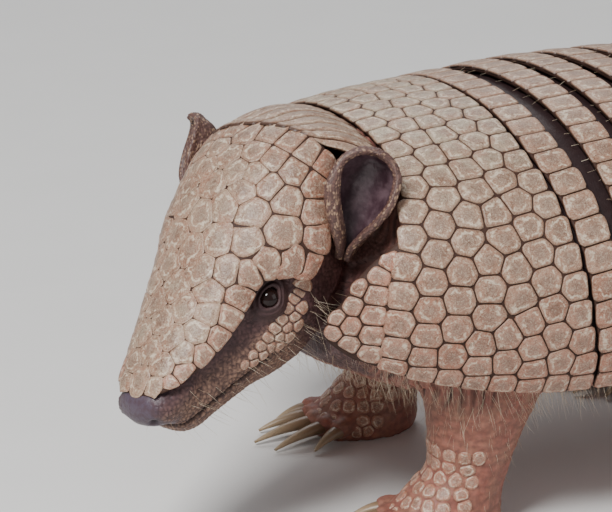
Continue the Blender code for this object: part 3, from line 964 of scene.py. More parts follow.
def slab(surface: Surface, u: Array, v: Array, top: Array | float, bottom: Array | float) -> Shape:
    """A closed slab between two heights over a surface.

    Args:
        surface: What it lies on.
        u: First numbers of its grid.
        v: Second numbers of its grid.
        top: Height of its outer face.
        bottom: Height of its inner face.

    Returns:
        The slab, unwrapped as the surface is.
    """
    rows, columns = u.shape
    count = rows * columns
    outer = surface.raised(u, v, top).reshape(-1, 3)
    inner = surface.raised(u, v, bottom).reshape(-1, 3)
    faces = grid_faces(rows, columns)
    faces += [f[::-1] for f in grid_faces(rows, columns, False, count)]
    edge = [(0, c) for c in range(columns)] + [(r, columns - 1) for r in range(1, rows)]
    edge += [(rows - 1, c) for c in range(columns - 2, -1, -1)] + [(r, 0) for r in range(rows - 2, 0, -1)]
    loop = [r * columns + c for r, c in edge]
    faces += [(a, a + count, b + count, b) for a, b in zip(loop, loop[1:] + loop[:1])]
    unwrap = unwrapped(np.stack([u, v], axis=-1).reshape(-1, 2))
    return turned_out(Shape(np.concatenate([outer, inner]), faces, {}, np.concatenate([unwrap, unwrap])))


# ---- finishes -----------------------------------------------------------------------------
class Recipe:
    """A material under construction, with short ways to add what it is mixed from."""

    noise_sockets: ClassVar[tuple[str, ...]] = ("Vector", "Scale", "Detail", "Roughness", "Distortion")

    def __init__(self, name: str) -> None:
        """Starts an empty Principled material."""
        self.material = bpy.data.materials.new(name)
        self.material.use_nodes = True
        self.tree = self.material.node_tree
        self.shader = self.tree.nodes["Principled BSDF"]
        self.where = self.node("ShaderNodeTexCoord").outputs["Object"]

    def node(self, kind: str, **settings: object) -> bpy.types.Node:
        """A node with its settings."""
        made = self.tree.nodes.new(kind)
        for key, value in settings.items():
            setattr(made, key, value)
        return made

    def feed(self, socket: Socket, value: object) -> None:
        """Links a socket or sets its value."""
        if isinstance(value, bpy.types.NodeSocket):
            self.tree.links.new(value, socket)
        elif isinstance(value, tuple) and len(value) == 3 and socket.type == "RGBA":
            socket.default_value = (*value, 1)
        else:
            socket.default_value = value

    def mark(self, name: str) -> Socket:
        """A number that the mesh carries at each point."""
        return self.node("ShaderNodeAttribute", attribute_name=name).outputs["Fac"]

    def noise(self, size: float, detail: float = 2, rough: float = .5, warp: float = 0) -> Socket:
        """Soft noise from 0 to 1 with hills about size metres apart."""
        made = self.node("ShaderNodeTexNoise")
        for key, value in zip(self.noise_sockets, (self.where, 1 / size, detail, rough, warp)):
            self.feed(made.inputs[key], value)
        return made.outputs["Fac"]

    def patches(self, low: float, high: float, *noise: float) -> Socket:
        """Noise cut into patches: 0 where it is under low, 1 where it is over high."""
        return self.ramp(self.noise(*noise), (low, .0), (high, 1.0))

    def ramp(self, value: Socket, *stops: tuple[float, float | Colour]) -> Socket:
        """A value read through stops of (place, grey or colour)."""
        made = self.node("ShaderNodeValToRGB")
        self.feed(made.inputs["Fac"], value)
        elements = made.color_ramp.elements
        while len(elements) < len(stops):
            elements.new(.5)
        for element, (place, colour) in zip(elements, stops):
            element.position = place
            element.color = (*colour, 1) if isinstance(colour, tuple) else (colour, colour, colour, 1)
        return made.outputs["Color"]

    def mix(self, share: Socket | float, one: object, other: object) -> Socket:
        """One colour mixed with another."""
        made = self.node("ShaderNodeMix", data_type="RGBA")
        self.feed(made.inputs["Factor"], share)
        self.feed(made.inputs[6], one)
        self.feed(made.inputs[7], other)
        return made.outputs[2]

    def sum(self, way: str, one: object, other: object) -> Socket:
        """Two numbers added, subtracted or multiplied."""
        made = self.node("ShaderNodeMath", operation=way)
        self.feed(made.inputs[0], one)
        self.feed(made.inputs[1], other)
        return made.outputs[0]

    def times(self, first: Socket, *others: Socket | float) -> Socket:
        """Numbers multiplied with one another."""
        for other in others:
            first = self.sum("MULTIPLY", first, other)
        return first

    def over(self, base: object, colour: object, *shares: Socket | float) -> Socket:
        """A colour laid over another by its shares multiplied."""
        return self.mix(self.times(*shares), base, colour)

    def bump(self, height: Socket, distance: float, under: Socket | None = None) -> Socket:
        """A normal raised by a height of that many metres at 1."""
        made = self.node("ShaderNodeBump")
        self.feed(made.inputs["Height"], height)
        made.inputs["Distance"].default_value = distance
        made.inputs["Strength"].default_value = 1
        if under is not None:
            self.feed(made.inputs["Normal"], under)
        return made.outputs["Normal"]

    def finish(self, **values: object) -> bpy.types.Material:
        """Fills the shader's sockets, named with _ for a space.

        Args:
            values: What each socket takes.

        Returns:
            The finished material.
        """
        for key, value in values.items():
            self.feed(self.shader.inputs[key.replace("_", " ")], value)
        return self.material


@dataclass(frozen=True)
class ScuteFinish:
    """Horny plates: tan to pink, with broken pale rings and scratches and a thin dark brown edge."""

    name: str = "scutes"
    tan: Colour = (.265, .152, .094)
    pink: Colour = (.385, .150, .092)
    grey: Colour = (.190, .140, .108)
    pale: Colour = (.64, .53, .40)
    bleached: Colour = (.37, .32, .225)
    dirt: Colour = (.115, .055, .032)
    edge: Colour = (.036, .015, .009)
    roughness: float = .40

    def make(self) -> bpy.types.Material:
        """Builds the material."""
        r = Recipe(self.name)
        ring, inward, seam, worn = r.mark("ring"), r.mark("inward"), r.mark("seam"), r.mark("worn")
        base = r.mix(r.mark("blush"), self.tan, self.pink)
        base = r.over(base, self.pale, r.mark("chance"), .12)
        base = r.over(base, self.grey, r.ramp(ring, (.25, 1.0), (.62, .0)), .50)
        base = r.over(base, self.bleached, r.patches(.42, .62, 6 * MM, 4, .65), worn, .85)
        base = r.over(base, self.dirt, r.patches(.46, .70, 9 * MM, 4, .65), .50)
        drift = r.times(r.sum("SUBTRACT", r.noise(2.8 * MM, 3, .6), .5), 1.10)
        rings = r.ramp(r.sum("ADD", ring, drift), (.52, .0), (.62, 1.0), (.68, 1.0), (.80, .0))
        broken = r.patches(.44, .56, 3.6 * MM, 3, .6, 1.0)
        base = r.over(base, self.pale, rings, broken, .82)
        scratch = r.ramp(r.noise(1.5 * MM, 3, .6, 2.6), (.53, .0), (.58, 1.0), (.64, .1))
        base = r.over(base, self.pale, scratch, .52)
        base = r.over(base, self.dirt, r.patches(.56, .66, 1.2 * MM, 2, .6, .8), .55)
        base = r.over(base, self.pale, r.ramp(inward, (.06, .0), (.11, 1.0), (.17, .0)), broken, .45)
        base = r.over(base, self.edge, r.ramp(inward, (.02, 1.0), (.08, .0)), seam)
        base = r.over(base, self.dirt, r.ramp(inward, (.04, 1.0), (.30, .0)), seam, .36)
        coarse = r.bump(r.noise(2.4 * MM, 3, .6, 1.0), .34 * MM)
        fine = r.bump(r.noise(.8 * MM, 3, .65), .18 * MM, coarse)
        return r.finish(Base_Color=base, Roughness=self.roughness, Normal=fine)


@dataclass(frozen=True)
class SeamFinish:
    """The dark horn between and under the plates."""

    name: str = "seams"
    dark: Colour = (.030, .014, .010)
    brown: Colour = (.062, .027, .017)

    def make(self) -> bpy.types.Material:
        """Builds the material."""
        r = Recipe(self.name)
        base = r.mix(r.noise(2.5 * MM, 3, .6), self.dark, self.brown)
        rough = r.bump(r.noise(1 * MM, 3, .6), .2 * MM)
        return r.finish(Base_Color=base, Roughness=.6, Normal=rough, Specular_IOR_Level=.25)


@dataclass(frozen=True)
class SkinFinish:
    """Wrinkled hide: pink-brown on body and legs, darker on the neck and the face, with a painted lilac-grey
    sheen on the nose and painted shade in its creases and recesses.
    """

    name: str = "skin"
    flushed: Colour = (.340, .120, .085)
    sallow: Colour = (.40, .235, .150)
    dusky: Colour = (.062, .030, .034)
    worn: Colour = (.165, .082, .074)
    # painted lilac sheen of the nose pad
    nose: Colour = (.086, .064, .086)
    lip: Colour = (.275, .160, .110)
    # near black painted shade for creases, recesses and the gaps between the bands
    painted_shade: Colour = (.016, .008, .008)

    def make(self) -> bpy.types.Material:
        """Builds the material."""
        r = Recipe(self.name)
        flush, gloss_and_sheen, crease_shade, lip = r.mark("flush"), r.mark("gloss_and_sheen"), r.mark("crease_shade"), r.mark("lip")
        broad = r.patches(.38, .66, 9 * MM, 4, .65)
        pink = r.over(self.flushed, self.sallow, broad, .45)
        base = r.mix(flush, r.over(self.dusky, self.worn, broad, .40), pink)
        grit = r.patches(.42, .60, 1.6 * MM, 3, .6)
        base = r.over(base, self.worn, grit, .30)
        base = r.over(base, self.lip, lip, r.sum("ADD", r.times(grit, .45), .55))
        # Painted sheen: lilac-grey on the middle of the nose pad.
        base = r.mix(gloss_and_sheen, base, r.over(self.nose, self.dusky, grit, .5))
        # Painted shade: near black in folds, between grains, in the mouth and nostrils and in the gaps between
        # the bands, and darker round the eyes.
        base = r.over(base, self.painted_shade, crease_shade, .94)
        rough = r.mix(gloss_and_sheen, (.52, .52, .52), (.36, .36, .36))
        fine = r.bump(r.noise(.8 * MM, 3, .6), .15 * MM)
        return r.finish(Base_Color=base, Roughness=rough, Normal=fine, Specular_IOR_Level=.3)


@dataclass(frozen=True)
class EarFinish:
    """Granular ear leather flecked with pale crust and with painted shade between its grains, smooth and dark
    purple inside with patches of painted sheen.
    """

    name: str = "ear_skin"
    rim: Colour = (.125, .062, .050)
    inner: Colour = (.044, .021, .028)
    sheen: Colour = (.105, .064, .074)
    crust: Colour = (.42, .27, .17)
    # near black painted shade between the grains
    painted_shade: Colour = (.022, .009, .009)

    def make(self) -> bpy.types.Material:
        """Builds the material."""
        r = Recipe(self.name)
        inner, crease_shade, grain = r.mark("inner"), r.mark("crease_shade"), r.mark("grain")
        # Painted sheen in patches on the inside.
        deep = r.mix(r.patches(.40, .66, 5 * MM, 3, .6), self.inner, self.sheen)
        base = r.mix(inner, self.rim, deep)
        spread = r.ramp(r.noise(3 * MM, 3, .6), (.40, .1), (.60, 1.0))
        base = r.over(base, self.crust, r.ramp(grain, (.34, .0), (.56, 1.0)), spread, .85)
        # Painted shade between the grains.
        base = r.over(base, self.painted_shade, crease_shade, .75)
        rough = r.mix(inner, (.5, .5, .5), (.33, .33, .33))
        return r.finish(Base_Color=base, Roughness=rough, Normal=r.bump(r.noise(.6 * MM, 2, .6), .10 * MM))


@dataclass(frozen=True)
class EyeFinish:
    """A wet, nearly black eye."""

    name: str = "eyes"
    black: Colour = (.006, .003, .003)
    brown: Colour = (.020, .009, .007)

    def make(self) -> bpy.types.Material:
        """Builds the material."""
        r = Recipe(self.name)
        base = r.mix(r.noise(1.5 * MM, 2), self.black, self.brown)
        return r.finish(Base_Color=base, Roughness=.05, IOR=1.36)


@dataclass(frozen=True)
class ClawFinish:
    """Yellow-brown horn, paler at the tip."""

    name: str = "claws"
    root: Colour = (.16, .09, .05)
    tip: Colour = (.50, .38, .24)

    def make(self) -> bpy.types.Material:
        """Builds the material."""
        r = Recipe(self.name)
        base = r.mix(r.mark("reach"), self.root, self.tip)
        base = r.over(base, self.root, r.noise(1.5 * MM, 3), .4)
        return r.finish(Base_Color=base, Roughness=.38, Normal=r.bump(r.noise(.6 * MM, 3), .05 * MM))


@dataclass(frozen=True)
class BristleFinish:
    """Stiff hairs, pale to brown."""

    name: str = "bristles"
    pale: Colour = (.78, .68, .52)
    brown: Colour = (.42, .28, .17)

    def make(self) -> bpy.types.Material:
        """Builds the material."""
        r = Recipe(self.name)
        base = r.mix(r.mark("chance"), self.pale, self.brown)
        return r.finish(Base_Color=base, Roughness=.45)


@dataclass(frozen=True)
class FloorFinish:
    """Plain pale paper."""

    name: str = "floor"
    shade: Colour = (.72, .71, .69)
    pale: Colour = (.76, .75, .73)

    def make(self) -> bpy.types.Material:
        """Builds the material."""
        r = Recipe(self.name)
        return r.finish(Base_Color=r.mix(r.noise(.05, 3), self.shade, self.pale), Roughness=.8)


# ---- assemblies ---------------------------------------------------------------------------
@dataclass
class Armour:
    """Shields and bands over the trunk."""

    shell: Shell
    pitch: float = 10.4 * MM          # from one plate to the next along a row
    row_pitch: float = 9.5 * MM       # from one row to the next
    hem: float = math.radians(6.4)    # angle that the narrow plates along the lower edge take
    base_depth: float = .62 * MM
    base_thickness: float = 1.6 * MM
    wander: float = .8 * MM
    band_overlap: float = .5 * MM     # how far a band's plates stand out over its base, front and rear
    band_lift: float = .25 * MM
    girth: float = .09                # metres to a radian of v
    stagger: float = .25              # how far every other row is moved along, in plates
    corner_ahead: float = 2.8 * MM    # how far the ghosts round the corner lie outside it
    corner_behind: float = 5.4 * MM
    corner_low: float = math.radians(119)
    seed: int = 11
    # Middles of the corner's plates: how far behind the datum, and degrees from the crest.
    corner_plates: tuple[Pair, ...] = (
        (-.0705, 66), (-.0745, 73.5), (-.0800, 78.5), (-.0762, 82), (-.0765, 90.5), (-.0765, 99),
        (-.0757, 108.5), (-.0822, 87), (-.0828, 96.5), (-.0822, 106.5), (-.0868, 92.5), (-.0872, 101.5),
    )

    def _row(self, curve: Curve, shift: float) -> tuple[Array, Array]:
        """One row of plates with a smaller one at each lower edge.

        Args:
            curve: How far back the row's middle lies at each angle.
            shift: How far the plates are moved along, in plates.

        Returns:
            The plates' (u, v) and those of a ghost beyond each end.
        """
        reach = self.shell.edge - self.hem
        row = spaced(self.shell, curve, (-reach, reach), self.pitch, shift)
        low = np.array([-1.0, 1.0]) * (self.shell.edge - self.hem * .5)
        beyond = np.array([-1.0, 1.0]) * (self.shell.edge + self.hem * .5)
        row = np.concatenate([row, np.stack([curve(low), low], axis=1)])
        return row, np.stack([curve(beyond), beyond], axis=1)

    @staticmethod
    def _mirrored(row: Array, edge: Curve) -> Array:
        """The ghosts of a row beyond an edge."""
        return np.stack([2 * edge(row[:, 1]) - row[:, 0], row[:, 1]], axis=1)

    def _field(self, front: Curve, rear: Curve, from_front: int, from_rear: int) -> tuple[Array, ...]:
        """Rows of plates that follow both edges and run out where the field narrows between them.

        Args:
            front: The field's front edge.
            rear: Its rear edge.
            from_front: How many rows follow the front edge where there is room.
            from_rear: How many whole rows follow the rear edge.

        Returns:
            The plates' (u, v), their ghosts', and which plates belong to the first and last row.
        """
        seeds, ghosts, ends = [], [], []
        step, last = self.row_pitch, from_front + from_rear - 1
        for k in range(last + 1):
            ahead = k < from_front
            behind = (last - k + .5) * step
            curve = (lambda v: front(v) + (k + .5) * step) if ahead else (lambda v: rear(v) - behind)
            edge_row = k in (0, last)
            row, beyond = self._row(curve, 0 if edge_row else (self.stagger if k % 2 else -self.stagger))
            room = rear(row[:, 1]) - front(row[:, 1]) - from_rear * step
            if ahead and k > 0:
                row = row[(k + .72) * step < room]
            seeds.append(row)
            ends.append(np.full(len(row), float(edge_row)))
            ghosts.append(beyond)
            if k == 0:
                ghosts.append(self._mirrored(row, front))
            if k == last:
                ghosts.append(self._mirrored(row, rear))
        seeds = np.concatenate(seeds)
        ends = np.maximum(np.concatenate(ends), np.abs(seeds[:, 1]) > self.shell.edge - self.hem)
        stray = np.random.default_rng(self.seed + from_front).normal(0, 1, seeds.shape)
        seeds += stray * (self.wander, self.wander / self.girth) * (1 - ends)[:, None]
        return seeds, np.concatenate(ghosts), ends

    def _base(self, front: Curve, rear: Curve, inset: float) -> Shape:
        """The horn under a field of plates."""
        reach = self.shell.edge - inset / self.girth
        share, v = np.meshgrid(np.linspace(0, 1, 26), np.linspace(-reach, reach, 121), indexing="ij")
        low, high = front(v) + inset, rear(v) - inset
        heights = -self.base_depth, -self.base_depth - self.base_thickness
        return slab(self.shell, low + (high - low) * share, v, *heights)

    @staticmethod
    def _lowness(v: Array) -> Array:
        """How pink a plate is, from its angle: more so towards the lower edge."""
        return .18 + .62 * ramp(np.abs(np.degrees(v)), 60, 112)

    @staticmethod
    def _paleness(seeds: Array) -> Array:
        """How worn and pale a plate is: most on top of the shoulders."""
        return ramp(np.abs(np.degrees(seeds[:, 1])), 62, 22)

    def scapular_shield(self) -> tuple[Shape, Shape]:
        """The shield over the shoulders: plates and base."""
        shell = self.shell
        seeds, ghosts, ends = self._field(shell.first_row, shell.rear, 5, 3)
        pale = self._paleness(seeds)
        shapes = [Mosaic(
            shell, seeds, ghosts, blush=self._lowness(seeds[:, 1]), seed=20, eased=5, fixed=ends,
            seam=1 - .45 * pale * (1 - ends), worn=.75 * pale,
        ).build()]
        for side in (1, -1):
            shapes.append(Mosaic(
                shell, *self._corner(side), blush=.85, seed=30 + side, corner=11, dome=.5 * MM,
                shoulder=.9 * MM, eased=2,
            ).build())
        return Shape.joined(shapes), self._base(shell.front, shell.rear, .7 * MM)

    def _corner(self, side: int) -> tuple[Array, Array]:
        """Small rounded plates of the shield's front lower corner, in three short rows."""
        seeds = np.array([(u, math.radians(v) * side) for u, v in self.corner_plates])
        ahead, behind = np.radians(np.arange(60, 122, 3)), np.radians(np.arange(58, 118, 6))
        rows = (
            (self.shell.front(ahead) - self.corner_ahead, ahead),
            (self.shell.first_row(behind) + self.corner_behind, behind),
            (np.linspace(-.088, -.068, 5), np.full(5, self.corner_low)),
        )
        return seeds, np.concatenate([np.stack([u, v * side], axis=1) for u, v in rows])

    def band(self, number: int) -> tuple[Shape, Shape]:
        """One movable band: plates and base."""
        ahead = self.band_overlap if number else 0
        front = lambda v: self.shell.band_start(number, v) - ahead
        rear = lambda v: self.shell.band_start(number, v) + self.shell.band_plate + self.band_overlap
        row, ghosts = self._row(lambda v: (front(v) + rear(v)) / 2, 0)
        ghosts = np.concatenate([ghosts, self._mirrored(row, front), self._mirrored(row, rear)])
        blush = self._lowness(row[:, 1]) + .10
        plates = Mosaic(self.shell, row, ghosts, blush=blush, lift=self.band_lift, seed=40 + number).build()
        return plates, self._base(front, rear, .6 * MM)

    def pelvic_shield(self) -> tuple[Shape, Shape]:
        """The shield over hips and rump: plates and base."""
        front = lambda v: self.shell.pelvic_start + 0 * v
        seeds, ghosts, ends = self._field(front, self.shell.pelvic_rear, 8, 3)
        plates = Mosaic(
            self.shell, seeds, ghosts, blush=self._lowness(seeds[:, 1]), seed=60, eased=6, fixed=ends
        ).build()
        return plates, self._base(front, self.shell.pelvic_rear, .7 * MM)


@dataclass
class HeadArmour:
    """The shield over crown and muzzle, and the band of long plates behind it."""

    skull: Skull
    shell: Shell
    nape_plates: int = 10
    nape_box: Pair = (.450, .63)       # half a nape plate's size, in plates across and in shares along
    nape_forward: float = .05
    low: float = .62                   # v beyond which plates meet the shield's lower edge
    rear_row: float = 9 * MM           # u within which plates meet its rear edge
    front_row: float = 94 * MM         # u beyond which they meet its front edge
    # Middles of the plates of one half, in millimetres along the head and in shares across it, and how much
    # wider than its neighbours each one grows, also in millimetres.
    middle_plates: tuple[float, ...] = (5.2, 16.2, 27.4, 40.2, 53.4, 67.8, 80.0, 91.0, 102.8)
    side_plates: tuple[Triple, ...] = (
        (3.4, .21, 0), (4.2, .40, 0), (4.8, .61, 0), (6.2, .86, 0),
        (12.4, .19, 0), (13.8, .35, 0), (15.0, .55, 0), (15.8, .78, 0),
        (21.4, .13, -1), (21.0, .27, -1), (23.4, .40, 0), (25.8, .55, 1.5), (22.6, .82, 0),
        (28.2, .24, -.5), (33.4, .36, 1.5), (37.2, .62, 3), (31.4, .88, .5), (34.6, .15, 0),
        (40.4, .97, 0), (43.4, .81, .5), (48.2, .70, .5), (45.4, .43, .5), (48.6, .20, 0),
        (54.8, .72, .5), (58.0, .50, 1), (58.6, .22, .5), (63.4, .78, 0), (66.0, .40, 0),
        (70.4, .82, .5), (72.6, .48, 0), (74.0, .20, 0), (78.4, .86, 0), (80.6, .50, 0), (85.4, .24, 0),
        (86.6, .82, 0), (89.4, .50, 0), (95.4, .86, 0), (96.4, .32, 0), (103.2, .48, 0), (102.2, .92, 0),
    )

    def shield(self) -> tuple[Shape, Shape]:
        """The head shield: plates and base."""
        crown = Crown(self.skull)
        random = np.random.default_rng(3)
        rows = [(u, 0.0, 0.0) for u in self.middle_plates]
        rows += [(u, side * v, size) for u, v, size in self.side_plates for side in (1, -1)]
        table = np.array(rows) * (MM, 1, MM)
        seeds, size = table[:, :2].copy(), table[:, 2]
        seeds += random.normal(0, 1, seeds.shape) * (.35 * MM, .008)
        ghosts = []
        for u, v in seeds:
            if abs(v) > self.low:
                ghosts.append((u, math.copysign(2.01 - abs(v), v)))
            if u < self.rear_row:
                ghosts.append((2 * self.skull.shield_rear(v) - u, v))
            if u > self.front_row:
                ghosts.append((2 * self.skull.shield_front(v) - u, v))
        aside = np.abs(seeds[:, 1])
        blush = .30 + .60 * ramp(aside, .60, .95)
        along = seeds[:, 0]
        bold = np.maximum(ramp(aside, .20, .55) * ramp(along, .074, .050), ramp(along, .018, .006))
        bold = np.maximum(bold, .7 * ramp(aside, .60, .80))
        plates = Mosaic(
            crown, seeds, np.array(ghosts), size=size, fit=Fit.LARGE, largest=.016, blush=blush, seed=70,
            corner=18, dome=.25 * MM, relief=.20 * MM, depth=(.14 + .46 * bold) * MM, shoulder=.7 * MM,
            gap=(-.04 + .11 * bold) * MM, seam=.10 + .90 * bold, worn=.35 * (1 - bold), eased=1, limit=1,
            rear=self.skull.shield_rear,
        ).build()
        share, v = np.meshgrid(np.linspace(0, 1, 90), np.linspace(-.985, .985, 61), indexing="ij")
        rear, front = self.skull.shield_rear(v) + .0006, self.skull.shield_front(v) - .0012
        return plates, slab(crown, rear + (front - rear) * share, v, -.50 * MM, -1.6 * MM)

    def nape(self) -> tuple[Shape, Shape]:
        """The band behind the crown: plates and base."""
        surface = Nape(self.skull, self.shell)
        across = (np.arange(self.nape_plates) + .5) / self.nape_plates * 2 - 1
        seeds = np.stack([across, np.full_like(across, .5)], axis=1)
        step = across[1] - across[0]
        ghosts = np.array([(across[0] - step, .5), (across[-1] + step, .5)])
        box = (self.nape_box[0] * step, self.nape_box[1])
        plates = Mosaic(
            surface, seeds - (0, self.nape_forward), ghosts, blush=.25, worn=.15, seed=80, box=box,
            depth=1.5 * MM, dome=.7 * MM, fit=Fit.LARGE,
        ).build()
        u, v = np.meshgrid(np.linspace(-.96, .96, 40), np.linspace(-.02, 1.0, 16), indexing="ij")
        return plates, slab(surface, u, v, -.6 * MM, -1.5 * MM)


@dataclass
class Platelets:
    """Small rounded plates that fan out behind and below each eye."""

    skull: Skull
    swell: float = 1.62               # how far each may grow, in its own size
    # Middles in millimetres along the head and in shares of the way down the cheek, and sizes in millimetres.
    table: tuple[Triple, ...] = (
        (46.2, .070, 2.6), (48.2, .125, 1.7), (51.0, .165, 2.0), (55.0, .195, 2.1), (59.4, .210, 2.0),
        (63.4, .215, 1.9), (67.2, .225, 1.9), (71.0, .235, 1.8), (52.2, .225, 2.0), (56.2, .250, 2.2),
        (60.4, .265, 2.1), (64.6, .268, 2.0), (68.8, .280, 1.8), (57.6, .302, 1.9), (62.2, .318, 1.9),
        (66.6, .322, 1.7), (72.6, .290, 1.6), (75.0, .245, 1.5), (76.4, .300, 1.4), (79.2, .262, 1.3),
    )

    def build(self) -> Shape:
        """The plates of both cheeks."""
        shapes, rows = [], np.array(self.table)
        for side in (1, -1):
            for k, row in enumerate(rows):
                others = np.delete(rows, k, 0)[:, :2] * (MM, 1)
                shapes.append(Mosaic(
                    Cheek(self.skull, side), row[None, :2] * (MM, 1), others, fit=Fit.SMALL, corner=12,
                    largest=row[2] * self.swell * MM, depth=.9 * MM, shoulder=.8 * MM, dome=.45 * MM,
                    gap=.06 * MM, lift=.25 * MM, blush=.80, worn=.1, seam=.8, seed=100 + k,
                ).build())
        return Shape.joined(shapes)


@dataclass
class TailScutes:
    """Rings of small plates round the tail, each set between those before it."""

    tail: Tail
    pitch: float = 5.4 * MM
    reach: Pair = (.7, 9.75)          # stations of the tail where they start and stop
    wander: Pair = (.018, .03)        # how far they stray, in stations and radians

    def build(self) -> Shape:
        """The plates of the whole tail."""
        u = np.linspace(*self.reach, 600)
        rows = travelled(self.tail.axis(u)) / self.pitch
        stops = np.interp(np.arange(-.5, rows[-1] + .5), rows, u)
        seeds, ghosts = [], []
        for k, at in enumerate(stops):
            count = max(5, round(2 * math.pi * float(self.tail.radius_at(at)) / self.pitch))
            turn = (np.arange(count) + .5 * (k % 2)) / count * 2 * math.pi
            ring = np.stack([np.full(count, at), turn], axis=1)
            (ghosts if k in (0, len(stops) - 1) else seeds).append(ring)
        seeds = np.concatenate(seeds)
        seeds += np.random.default_rng(4).normal(0, 1, seeds.shape) * self.wander
        return Mosaic(
            self.tail, seeds, np.concatenate(ghosts), fit=Fit.SMALL, largest=4.2 * MM, corner=9, depth=.7 * MM,
            dome=.4 * MM, lift=.15 * MM, blush=.45, worn=.3, seed=130,
        ).build()


@dataclass
class FootScales:
    """Small horny scales over the front and sides of a foot and its ankle."""

    limb: Limb
    seed: int                         # makes each foot its own
    pitch: float = .0056
    rows: Triple = (.0045, .036, .0046)    # heights of the lowest and beyond the highest, and the step
    spread: float = 2.9               # radians that a row takes up
    wander: Pair = (.4 * MM, .035)

    def build(self) -> Shape:
        """The scales of the foot."""
        seeds = []
        for k, height in enumerate(np.arange(*self.rows)):
            rear, front = self.limb.point(np.full(2, height), np.array([0, math.pi]))[:, 0]
            count = max(4, round(float(rear - front) * 1.30 / self.pitch))
            turn = math.pi + ((np.arange(count) + .5 + .5 * (k % 2)) / count - .5) * self.spread
            seeds.append(np.stack([np.full(count, height), turn], axis=1))
        seeds = np.concatenate(seeds)
        seeds += np.random.default_rng(self.seed).normal(0, 1, seeds.shape) * self.wander
        return Mosaic(
            self.limb, seeds, np.zeros((0, 2)), fit=Fit.SMALL, largest=.0032, corner=9, depth=.75 * MM,
            dome=.40 * MM, shoulder=.8 * MM, lift=.20 * MM, blush=1.0, seam=.8, seed=self.seed,
        ).build()


@dataclass(frozen=True)
class Growth:
    """Hairs of one sort."""

    count: int
    length: Pair
    radius: float
    lie: Triple    # the way they lean
    lean: float                        # how closely they follow it
    curl: float = .35
    scatter: float = .16               # how far their directions differ
    stops: ClassVar[int] = 6           # rings along a hair
    sides: ClassVar[int] = 3

    def grow(self, root: Array, out: Array, seed: int) -> Shape:
        """Grows a hair at each root.

        Args:
            root: Where the hairs stand.
            out: The direction straight out of the skin there.
            seed: Makes each growth its own.

        Returns:
            Thin three-sided hairs that taper and bend, each with a small patch of the unwrap at its root.
        """
        random = np.random.default_rng(seed)
        count = len(root)
        reach = random.uniform(*self.length, count)[:, None, None]
        lie = unit(np.asarray(self.lie, float))
        start = unit(out * (1 - self.lean) + lie * self.lean + random.normal(0, self.scatter, (count, 3)))
        bend = unit(lie + random.normal(0, .45, (count, 3))) * self.curl
        side = unit(np.cross(start, random.normal(0, 1, (count, 3))))
        turn = np.arange(self.sides) * 2 * math.pi / self.sides
        ring = side[:, None] * np.cos(turn)[:, None] + np.cross(start, side)[:, None] * np.sin(turn)[:, None]
        t = np.linspace(0, 1, self.stops)[:, None]
        path = (root - out * .4 * MM)[:, None] + reach * (start[:, None] * t + bend[:, None] * t ** 2)
        thick = self.radius * (1 - .86 * t ** 1.4) * random.uniform(.7, 1.2, (count, 1, 1))
        points = path[:, :, None] + ring[:, None] * thick[..., None]
        each = self.stops * self.sides
        block = [tuple(range(each - self.sides, each))] + grid_faces(self.stops, self.sides, True)
        faces = [tuple(i + each * n for i in f) for n in range(count) for f in block]
        patch = np.stack(np.broadcast_arrays(t * .003, np.arange(self.sides) * .0015), axis=-1)
        around = np.arctan2(-root[:, 1], root[:, 2] - .08)
        home = np.stack([(root[:, 0] + .32) / .62, around / 6.4 + .5], axis=1)
        unwrap = (home[:, None, None] + patch).reshape(-1, 2)
        marks = {"chance": np.repeat(random.random(count), each)}
        return Shape(points.reshape(-1, 3), faces, marks, unwrap)


